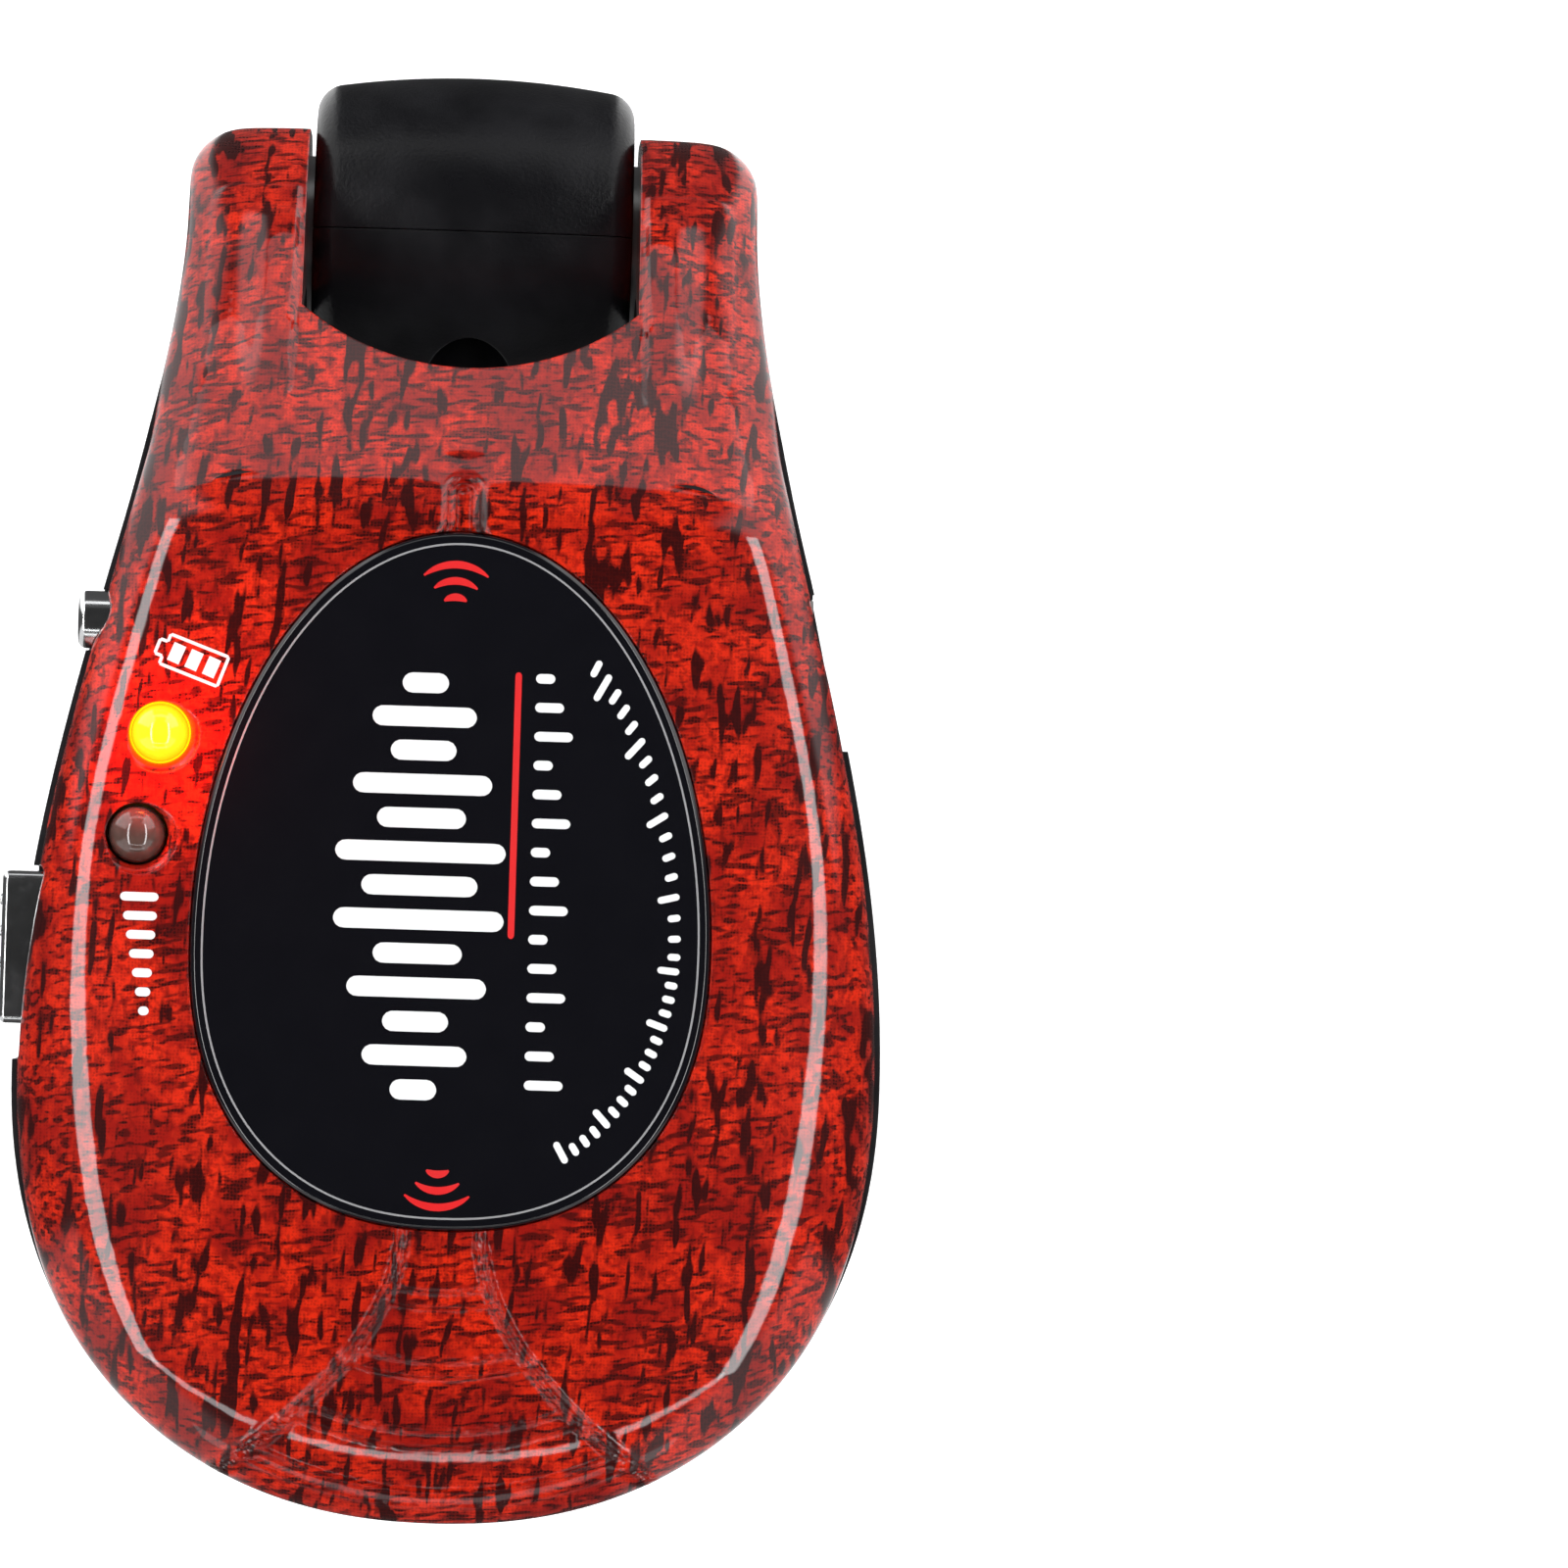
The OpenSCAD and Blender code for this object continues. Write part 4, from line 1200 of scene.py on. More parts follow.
@dataclass(frozen=True)
class Press:
    """Lays printed marks on a surface as thin slabs of ink.

    Args:
        surface: Where the marks lie.
        ink: Thickness of the ink.
        sunk: Depth that the slab reaches below the surface.
    """

    surface: Surface
    ink: float = 0.03
    sunk: float = 0.03

    def slab(self, grid: np.ndarray) -> Solid:
        """Builds a closed slab over a grid of plan points, rows by columns.

        Args:
            grid: The plan points.

        Returns:
            The slab.
        """
        rows, columns, _ = grid.shape
        top = self.surface(grid[..., 0], grid[..., 1], self.ink).reshape(-1, 3)
        low = self.surface(grid[..., 0], grid[..., 1], -self.sunk).reshape(-1, 3)
        shift, faces = rows * columns, []
        for j in range(rows - 1):
            for i in range(columns - 1):
                a = j * columns + i
                quad = [a, a + 1, a + columns + 1, a + columns]
                faces += [quad, [k + shift for k in quad[::-1]]]
        rim = [i for i in range(columns)] + [j * columns + columns - 1 for j in range(1, rows)]
        rim += [(rows - 1) * columns + i for i in range(columns - 2, -1, -1)]
        rim += [j * columns for j in range(rows - 2, 0, -1)]
        for a, b in zip(rim, rim[1:] + rim[:1]):
            faces.append([b, a, a + shift, b + shift])
        return Solid(np.vstack([top, low]), faces)

    def stroke(self, path: np.ndarray, width: float, taper: Callable[[float], float] | None = None,
               across: int = 3) -> Solid:
        """Lays a stroke along a path.

        Args:
            path: Points of the middle line.
            width: Full width.
            taper: Share of the width along the stroke, from 0 to 1.
            across: Steps over the width.

        Returns:
            The stroke as a slab.
        """
        along = np.gradient(path, axis=0)
        along /= np.linalg.norm(along, axis=1)[:, None]
        normal = np.column_stack([-along[:, 1], along[:, 0]])
        share = np.array([taper(t) if taper else 1.0 for t in np.linspace(0, 1, len(path))])
        offsets = np.linspace(-width / 2, width / 2, across + 1)
        return self.slab(path[:, None, :] + normal[:, None, :] * (share[:, None] * offsets)[:, :, None])

    def bar(self, start: Spot, end: Spot, width: float) -> Solid:
        """Lays a straight bar with round ends.

        Args:
            start: One end.
            end: The other end.
            width: Full width.

        Returns:
            The bar.
        """
        length = math.dist(start, end)
        steps = max(6, int(length / 0.5))
        # Stations crowd at both ends, where the bar rounds off
        t = (1 - np.cos(np.linspace(0, math.pi, steps + 8))) / 2
        path = np.array(start) + t[:, None] * (np.array(end) - np.array(start))
        reach = width / 2 / length

        def rounded(index: float) -> float:
            """Returns the share of the width near a round end.

            Args:
                index: Place along the bar, from 0 to 1.

            Returns:
                The share.
            """
            place = (1 - math.cos(index * math.pi)) / 2
            short = max(0.0, reach - min(place, 1 - place)) / reach
            return math.sqrt(max(0.012, 1 - short**2))

        return self.stroke(path, width, rounded)

    def arc(self, centre: Spot, radius: float, start: float, end: float, width: float,
            taper: Callable[[float], float] | None = None) -> Solid:
        """Lays an arc between two angles in degrees.

        Args:
            centre: Centre of the arc.
            radius: Its radius.
            start: First angle.
            end: Last angle.
            width: Full width.
            taper: Share of the width along it.

        Returns:
            The arc.
        """
        steps = max(10, int(abs(end - start) / 4))
        angles = np.radians(np.linspace(start, end, steps))
        path = np.array(centre) + radius * np.column_stack([np.cos(angles), np.sin(angles)])
        return self.stroke(path, width, taper)


@dataclass(frozen=True)
class Marks:
    """Printed signs. All of them are plain generic ones."""

    wave_middle: Spot = (-1.7, -35.0)
    wave_step: float = 1.75
    wave_heights: tuple[float, ...] = (2.4, 5.4, 3.4, 7.2, 4.6, 8.8, 6.0, 8.8, 4.6, 7.2, 3.4, 5.4, 2.4)
    battery_middle: Spot = (-13.75, -23.7)
    battery_tilt: float = -20.0
    level_start: Spot = (-17.35, -41.9)

    def build(self, shop: Shop) -> None:
        """Makes the badge's art, the signs on the front and side, and the label's marks.

        Args:
            shop: The finishes.
        """
        self.badge_art(shop)
        self.battery_sign(shop)
        self.level_sign(shop)
        self.button_sign(shop)
        self.label_marks(shop)

    def badge_art(self, shop: Shop) -> None:
        """Lays a sound wave, radio arcs and a ring of scale ticks on the badge, and a painted highlight: a
        grey ring just inside its rim.

        Args:
            shop: The finishes.
        """
        press = Press(on_badge)
        count = len(self.wave_heights)
        white, red = [], []
        for i, height in enumerate(self.wave_heights):
            y = self.wave_middle[1] + (i - (count - 1) / 2) * self.wave_step
            x = self.wave_middle[0]
            white.append(press.bar((x - height / 2, y), (x + height / 2, y), 1.05))
        for y, facing in ((-20.9, 90), (-48.9, -90)):
            for radius in (0.9, 1.75, 2.6):
                red.append(press.arc((-0.3, y), radius, facing - 40, facing + 40, 0.40,
                                     lambda t: max(0.25, math.sin(math.pi * t) ** 0.5)))
        red.append(press.bar((3.1, -23.8), (3.1, -37.6), 0.34))
        for i in range(15):
            white.append(press.bar((4.0, -24.1 - i * 1.5), (5.0 + 0.5 * (i % 3), -24.1 - i * 1.5), 0.5))
        for angle in np.linspace(-58, 52, 34):
            turned = math.radians(angle)
            base = np.array([0.0, BADGE.middle])
            reach = BADGE.up if angle > 0 else BADGE.down
            rim = base + np.array([BADGE.half_width * math.cos(turned), reach * math.sin(turned)])
            long_tick = int(round((angle + 58) / 110 * 33)) % 4 == 0
            inner, outer = (0.80, 0.885) if long_tick else (0.835, 0.885)
            start, end = base + (rim - base) * inner, base + (rim - base) * outer
            white.append(press.bar(tuple(start), tuple(end), 0.36))
        # Painted highlight: a grey ring just inside the badge's rim stands in for the light that its round
        # edge catches
        rim_highlight_path = BADGE.outline(-0.62, 200)
        rim_highlight_path = np.vstack([rim_highlight_path, rim_highlight_path[:1]])
        rim_highlight_stroke = press.stroke(rim_highlight_path, 0.10, None, 1)
        for name, solids, finish in (("badge_wave", white, shop.white_ink),
                                     ("badge_signals", red, shop.red_ink),
                                     ("badge_painted_rim_highlight", [rim_highlight_stroke], shop.print_and_highlight_ink)):
            piece = make_object(name, gathered(solids), finish)
            shade(piece)
            settle(piece, "housing", "badge_black")

    def battery_sign(self, shop: Shop) -> None:
        """Lays a battery pictogram with three cells above the battery light.

        Args:
            shop: The finishes.
        """
        press = Press(on_front)
        turn = math.radians(self.battery_tilt)
        across = np.array([math.cos(turn), math.sin(turn)])
        up = np.array([-across[1], across[0]])
        middle = np.array(self.battery_middle)

        def at(u: float, v: float) -> Spot:
            """Returns a point of the pictogram in the plan."""
            return tuple(middle + u * across + v * up)

        half_l, half_h, nub = 1.62, 0.82, 0.40
        line = [(-half_l, half_h), (half_l, half_h), (half_l, -half_h), (-half_l, -half_h),
                (-half_l, -nub), (-half_l - 0.42, -nub), (-half_l - 0.42, nub), (-half_l, nub),
                (-half_l, half_h)]
        solids = [press.bar(at(*a), at(*b), 0.17) for a, b in zip(line, line[1:])]
        for i in range(3):
            centre = -0.98 + i * 0.98
            cell = [at(centre - 0.02, -0.50), at(centre, 0), at(centre + 0.02, 0.50)]
            solids.append(press.stroke(np.array(cell), 0.66))
        piece = make_object("battery_sign", gathered(solids), shop.white_ink)
        shade(piece)
        settle(piece, "housing", "red_gloss")

    def level_sign(self, shop: Shop) -> None:
        """Lays a rising row of level bars beside the signal light.

        Args:
            shop: The finishes.
        """
        press = Press(on_front)
        solids = []
        for i in range(7):
            y = self.level_start[1] + i * 0.98
            right = self.level_start[0] + 1.9 + 0.05 * i
            solids.append(press.bar((right - 0.55 - 0.24 * i, y), (right, y), 0.46))
        piece = make_object("level_sign", gathered(solids), shop.white_ink)
        shade(piece)
        settle(piece, "housing", "red_gloss")

    def button_sign(self, shop: Shop) -> None:
        """Lays short rays under the push button, on the side of the bowl.

        Args:
            shop: The finishes.
        """
        press = Press(on_left_side)
        solids = []
        for angle in np.linspace(205, 335, 8):
            ray = np.array([math.cos(math.radians(angle)), math.sin(math.radians(angle))])
            start = np.array([-21.7, 21.2]) + 3.1 * ray
            solids.append(press.bar(tuple(start), tuple(start + 1.5 * ray), 0.26))
        piece = make_object("button_sign", gathered(solids), shop.print_and_highlight_ink)
        shade(piece)
        settle(piece, "housing", "black_satin")

    def label_marks(self, shop: Shop) -> None:
        """Lays plain frames, dashes and stripes on the foil label.

        Args:
            shop: The finishes.
        """
        press = Press(on_back, 0.225, -0.19)
        solids = []
        for y, spans in ((-12.6, ((-7.2, -4.4), (-3.4, -1.6), (-0.8, 2.6), (3.4, 7.2))),
                         (-14.4, ((-7.2, -2.2), (-1.2, 1.8), (2.8, 7.2))),
                         (-52.0, ((-7.2, 1.4), (2.6, 7.2))), (-54.0, ((-7.2, -0.6), (0.6, 7.2)))):
            solids += [press.bar((a, y), (b, y), 0.62) for a, b in spans]
        for low, high in ((-31.0, -17.5), (-49.5, -33.0)):
            frame_line = [(-7.2, low), (7.2, low), (7.2, high), (-7.2, high), (-7.2, low)]
            solids += [press.bar(a, b, 0.22) for a, b in zip(frame_line, frame_line[1:])]
        for i in range(14):
            y = -35.0 - i * 0.92
            solids.append(press.bar((-5.6, y), (0.6 + 1.8 * math.sin(i * 1.9), y), 0.34))
        for i in range(16):
            width = 0.24 + 0.2 * (i * 5 % 3)
            x = -5.8 + i * 0.78
            solids.append(press.stroke(np.array([(x, -20.0), (x, -24), (x, -28.4)]), width))
        piece = make_object("label_marks", gathered(solids), shop.dark_ink)
        shade(piece)
        settle(piece, "housing", "silver_label")


# ---------------------------------------------------------------- housing pieces


@dataclass(frozen=True)
class Openings:
    """Openings in the two shells."""

    slider_mid: Spot = (-39.65, 23.5)
    slider_size: Spot = (10.1, 4.44)
    button_mid: Spot = (-21.7, 22.0)
    button_size: Spot = (3.24, 4.24)
    port_mid: Spot = (-23.3, 21.85)
    port_recess: Spot = (8.2, 3.5)
    port_hole: Spot = (7.7, 2.7)
    port_face: float = 18.4
    light_at: tuple[Spot, ...] = ((-15.4, -27.5), (-16.4, -32.8))
    light_hole: float = 1.6
    screws: tuple[Spot, ...] = ((-11.6, -16.2), (11.6, -16.2), (-13.5, -54.0), (13.5, -54.0))
    board_screws: tuple[Spot, ...] = ((0.0, -15.2), (0.0, -62.0))
    board_top: float = 20.6

    def window(self, middle: Spot, size: Spot, radius: float, low: float, high: float) -> Solid:
        """Returns a round-cornered window drawn out along X."""
        outline = rounded_box(size[0], size[1], radius) + np.array([middle[0], middle[1] + HINGE])
        return prism(outline, Axis.X, low, high)

    def sides(self) -> Solid:
        """Returns the windows of the slider, the button and the charging port.

        Returns:
            The windows.
        """
        return gathered([
            self.window(self.slider_mid, self.slider_size, 0.5, -30, -18),
            self.window(self.button_mid, self.button_size, 1.6, -30, -16),
            self.window(self.port_mid, self.port_recess, 0.6, self.port_face, 30)])

    def port(self) -> Solid:
        """Returns the inner hole of the charging port."""
        return self.window((-23.3, self.board_top + 1.25), self.port_hole, 0.4, 14, self.port_face + 0.5)

    def light(self, at: Spot) -> Solid:
        """Returns a light's hole, which flares towards the front.

        Args:
            at: The light's place.

        Returns:
            The hole.
        """
        top = float(FORM.front(np.array(at[0]), np.array(at[1])))
        flare = [(self.light_hole + 0.62 * (1 - math.cos(a)), top - 0.55 + 0.62 * math.sin(a))
                 for a in np.radians(np.linspace(0, 75, 7))]
        profile = [(0.0, self.board_top)] + [(self.light_hole, self.board_top)] + flare
        profile += [(flare[-1][0] + 0.5, top + 2.5), (0.0, top + 2.5)]
        return lathe(profile, 72).moved(at[0], at[1], HINGE)


@dataclass(frozen=True)
class Shells:
    """The figured front shell and the black rear shell."""

    openings: Openings = Openings()
    tuck_depth: float = 0.30
    boss: float = 2.5
    boss_joint: float = 19.4
    head_depth: float = 2.2

    def stations(self, fine: bool) -> np.ndarray:
        """Returns the places of the cross sections along Y.

        Args:
            fine: True for the front, whose relief needs close stations.

        Returns:
            The places.
        """
        form = FORM
        end = form.waist - form.round_end * np.sin(np.radians(np.linspace(88.0, 1.0, 70 if fine else 44)))
        runs = [end]
        if fine:
            runs += [np.arange(-67.4, -52.2, 0.125), np.arange(-52.2, -17.6, 0.45),
                     np.arange(-17.6, -12.0, 0.11), np.arange(-12.0, form.fillet_y, 0.2),
                     np.arange(1.55, 2.35, 0.07)]
        else:
            runs += [np.arange(-45, form.fillet_y, 1.1)]
        edge = form.lug[0] - form.lug[2]
        runs += [np.linspace(form.fillet_y, edge - 0.002, 14), np.array([edge + 0.002]),
                 np.arange(edge + 0.25, 2.4, 0.3),
                 2.4 + form.ear_corner * np.sin(np.radians(np.linspace(0, 90, 14)))]
        places = np.unique(np.round(np.concatenate(runs), 4))
        kept = [places[0]]
        for place in places[1:]:
            near_edge = abs(place - edge) < 0.01
            if place - kept[-1] > 0.045 or near_edge or place == places[-1]:
                kept.append(place)
        return np.array(kept)

    def cavity(self) -> Solid:
        """Returns the space inside both shells.

        Returns:
            The space.
        """
        form = FORM
        end = form.waist - (form.round_end - form.wall) * np.sin(np.radians(np.linspace(88, 2, 22)))
        places = np.concatenate([end, np.arange(-44, -10, 1.6), [-9.7]])
        return form.body(places, form.wall, (20, 10, 4))

    def tuck(self, y: float) -> float:
        """Returns how far the front's rim stands back from the rear shell's edge."""
        return self.tuck_depth * float(ease(np.array(y), -60, -48) * (1 - ease(np.array(y), -13, -8)))

    def front(self, shop: Shop) -> None:
        """Makes the front shell with its relief, openings and screw posts.

        Args:
            shop: The finishes.
        """
        relief = FrontRelief()
        outer = FORM.body(self.stations(True), 0.0, (122, 14, 5), self.tuck, relief.carve)
        piece = make_object("front_cover", outer, shop.film)
        cut(piece, FORM.over_joint(), shop.film, "INTERSECT")
        cut(piece, self.cavity(), shop.shell_black)
        cut(piece, FORM.knuckle_room(), shop.film)
        cut(piece, self.openings.sides(), shop.film)
        cut(piece, self.openings.port(), shop.shell_black)
        cut(piece, BADGE.slab(BADGE.gap, -BADGE.sink, 4.0, 0.0), shop.film)
        for at in self.openings.light_at:
            cut(piece, self.openings.light(at), shop.film)
        posts = [self.post(at, self.boss, 1.0, self.boss_joint) for at in self.openings.screws]
        posts += [self.post(at, 1.9, 0.7, self.openings.board_top) for at in self.openings.board_screws]
        self.join(piece, make_object("posts", gathered(posts), shop.shell_black))
        shade(piece, 30)
        settle(piece, "housing", "red_gloss", "front_shell")

    def post(self, at: Spot, outer: float, bore: float, low: float) -> Solid:
        """Returns a hollow post that hangs from the inside of the front.

        Args:
            at: Its place.
            outer: Its radius.
            bore: Radius of its hole.
            low: Height of its foot.

        Returns:
            The post.
        """
        high = float(FORM.front(np.array(at[0]), np.array(at[1]))) - 1.2
        profile = [(bore, low), (outer - 0.2, low), (outer, low + 0.2), (outer, high), (bore, high)]
        return lathe(profile, 40, closed=True).moved(at[0], at[1], HINGE)

    def join(self, piece: bpy.types.Object, extra: bpy.types.Object) -> None:
        """Puts another object's mesh into a piece.

        Args:
            piece: The piece.
            extra: The other object.
        """
        work = bmesh.new()
        work.from_mesh(piece.data)
        slots = [m.name for m in piece.data.materials]
        name = extra.data.materials[0].name
        if name not in slots:
            piece.data.materials.append(extra.data.materials[0])
            slots.append(name)
        before = len(work.faces)
        work.from_mesh(extra.data)
        work.faces.ensure_lookup_table()
        for face in work.faces[before:]:
            face.material_index = slots.index(name)
        work.to_mesh(piece.data)
        work.free()
        bpy.data.objects.remove(extra)

    def rear(self, shop: Shop) -> None:
        """Makes the rear shell with its label pocket, screw wells and openings.

        Args:
            shop: The finishes.
        """
        black = shop.shell_black
        piece = make_object("rear_cover", FORM.body(self.stations(False), 0.0, (30, 26, 6)), black)
        cut(piece, FORM.over_joint(), black)
        cut(piece, self.cavity(), black)
        cut(piece, FORM.knuckle_room(), black)
        cut(piece, gathered([self.openings.sides()]), black)
        cut(piece, self.openings.port(), black)
        wells, bosses = [], []
        for at in self.openings.screws:
            floor = FORM.back_plane(at[1])
            wells.append(rod(2.05, Axis.Z, 0, floor + 2.0, 40).moved(at[0], at[1], HINGE))
            top, deep = self.boss_joint, floor + self.head_depth
            profile = [(2.05, floor + 0.5), (2.05, deep), (1.15, deep), (1.15, top), (self.boss, top),
                       (self.boss, floor + 1.3)]
            bosses.append(lathe(profile, 40, closed=True).moved(at[0], at[1], HINGE))
        cut(piece, gathered(wells), black)
        slope = Matrix.Rotation(math.atan(FORM.back_slope), 4, "X")
        pocket = prism(rounded_box(17.3, 47.1, 2.5) + np.array([0, -34.5]), Axis.Z, -3, 0.2)
        cut(piece, pocket.turned(slope).moved(0, 0, HINGE + FORM.back_plane(0)), black)
        self.join(piece, make_object("bosses", gathered(bosses), black))
        shade(piece, 32)
        settle(piece, "housing", "black_satin", "rear_shell")

    def badge(self, shop: Shop) -> None:
        """Makes the domed badge.

        Args:
            shop: The finishes.
        """
        piece = make_object("domed_badge", BADGE.slab(0.0, -BADGE.sink + 0.04, BADGE.proud, 0.30), shop.badge)
        shade(piece, 50)
        settle(piece, "housing", "badge_black", "badge")

    def build(self, shop: Shop) -> None:
        """Makes all the covers.

        Args:
            shop: The finishes.
        """
        self.front(shop)
        self.rear(shop)
        self.badge(shop)


@dataclass(frozen=True)
class Lights:
    """The two indicator lights."""

    radius: float = 1.5
    proud: float = 0.45
    flange: float = 1.8

    def lens(self, name: str, at: Spot, finish: bpy.types.Material, slot: str) -> bpy.types.Object:
        """Makes one light: a flanged body, a round dome and two legs.

        Args:
            name: Name of the piece.
            at: Its place.
            finish: Its material.
            slot: Its material slot.

        Returns:
            The light.
        """
        base = Openings().board_top
        top = float(FORM.front(np.array(at[0]), np.array(at[1]))) + self.proud
        dome = [(self.radius * math.cos(a), top - self.radius * (1 - math.sin(a)))
                for a in np.radians(np.linspace(0, 90, 18))]
        profile = [(0.0, base + 0.3), (self.flange - 0.1, base + 0.3), (self.flange, base + 0.4),
                   (self.flange, base + 1.1), (self.flange - 0.1, base + 1.2), (self.radius, base + 1.2)]
        body = lathe(profile + dome[:-1] + [(0.0, top)], 72)
        legs = [rod(0.22, Axis.Z, base, base + 0.45, 16).moved(0, s * 0.64) for s in (-1, 1)]
        piece = make_object(name + "_lens", gathered([body, *legs]).moved(at[0], at[1], HINGE), finish)
        shade(piece, 40)
        return settle(piece, "housing", slot, name)

    def build(self, shop: Shop) -> None:
        """Makes both lights and the glow of the lit one.

        Args:
            shop: The finishes.
        """
        lit_at, unlit_at = Openings().light_at
        lit = self.lens("battery_light", lit_at, shop.lit, "light_yellow")
        self.lens("signal_light", unlit_at, shop.unlit, "light_smoke")
        glow = bpy.data.lights.new("battery_glow", "POINT")
        glow.energy, glow.color, glow.shadow_soft_size = 0.0032, (1.0, 0.02, 0.0), 1.2 * MM
        lamp = bpy.data.objects.new("battery_glow", glow)
        lamp.visible_camera = lamp.visible_glossy = False
        bpy.context.scene.collection.objects.link(lamp)
        lamp.parent = lit
        lamp.location = Vector((lit_at[0], lit_at[1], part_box("battery_light")[1].z / MM + 1.5)) * MM


@dataclass(frozen=True)
class Controls:
    """The chromed slider and push button."""

    cap_mid: Spot = (-38.85, 23.5)
    cap_size: Spot = (7.9, 4.2)
    cap_face: float = -23.3
    plate_x: float = -19.5
    rib_radius: float = 0.28
    rib_step: float = 1.63
    button_mid: Spot = (-21.7, 22.0)
    button_face: float = -19.9
    flange_x: float = -16.5

    def slider(self, shop: Shop) -> None:
        """Makes the slider: a round-edged cap, four grip ribs and its plate.

        Args:
            shop: The finishes.
        """

        def outline(inset: float) -> np.ndarray:
            """Returns the cap's outline, taken in.

            Args:
                inset: The distance taken in.

            Returns:
                The outline.
            """
            wide, tall = (size - 2 * inset for size in self.cap_size)
            box = rounded_box(wide, tall, max(0.45 - inset, 0.08))
            return box + np.array([self.cap_mid[0], self.cap_mid[1] + HINGE])

        parts = [stack(outline, edge_roll(0.32, self.plate_x + 0.2, self.cap_face), Axis.X)]
        half = self.cap_size[1] / 2 - 0.4
        for i in range(4):
            y = self.cap_mid[0] + (i - 1.5) * self.rib_step
            ends = [(self.rib_radius * math.sin(a), half - self.rib_radius * (1 - math.cos(a)))
                    for a in np.radians(np.linspace(0, 90, 6))]
            profile = [(0.0, -half)] + [(r, -z) for r, z in ends[1:]] + ends[:0:-1] + [(0.0, half)]
            parts.append(lathe(profile, 28).moved(self.cap_face, y, self.cap_mid[1] + HINGE))
        plate = rounded_box(10.8, 3.6, 0.4) + np.array([self.cap_mid[0], 21.4 - 0.6 + 1.8 + HINGE])
        parts.append(prism(plate, Axis.X, self.plate_x, self.plate_x + 0.8))
        piece = make_object("chromed_slider", gathered(parts), shop.chrome)
        shade(piece, 40)
        settle(piece, "power_slider", "chrome_plate", "slider_cap")

    def button(self, shop: Shop) -> None:
        """Makes the oval push button and its flange.

        Args:
            shop: The finishes.
        """

        def outline(inset: float) -> np.ndarray:
            """Returns the button's oval, taken in."""
            box = rounded_box(3 - 2 * inset, 4 - 2 * inset, 1.5 - inset - 0.001, 12)
            return box + np.array([self.button_mid[0], self.button_mid[1] + HINGE])

        cap = edge_roll(0.4, self.flange_x, self.button_face, 6)
        cap += [(0.7, self.button_face + 0.02), (1.0, self.button_face + 0.08)]
        flange = rounded_box(4.1, 2.1, 0.2) + np.array([self.button_mid[0] - 0.05, 21.75 + HINGE])
        parts = [stack(outline, cap, Axis.X), prism(flange, Axis.X, self.flange_x, -15.9)]
        piece = make_object("chromed_button", gathered(parts), shop.chrome)
        shade(piece, 40)
        settle(piece, "push_button", "chrome_plate", "button_cap")

    def build(self, shop: Shop) -> None:
        """Makes both controls."""
        self.slider(shop)
        self.button(shop)


# ---------------------------------------------------------------- plug arm


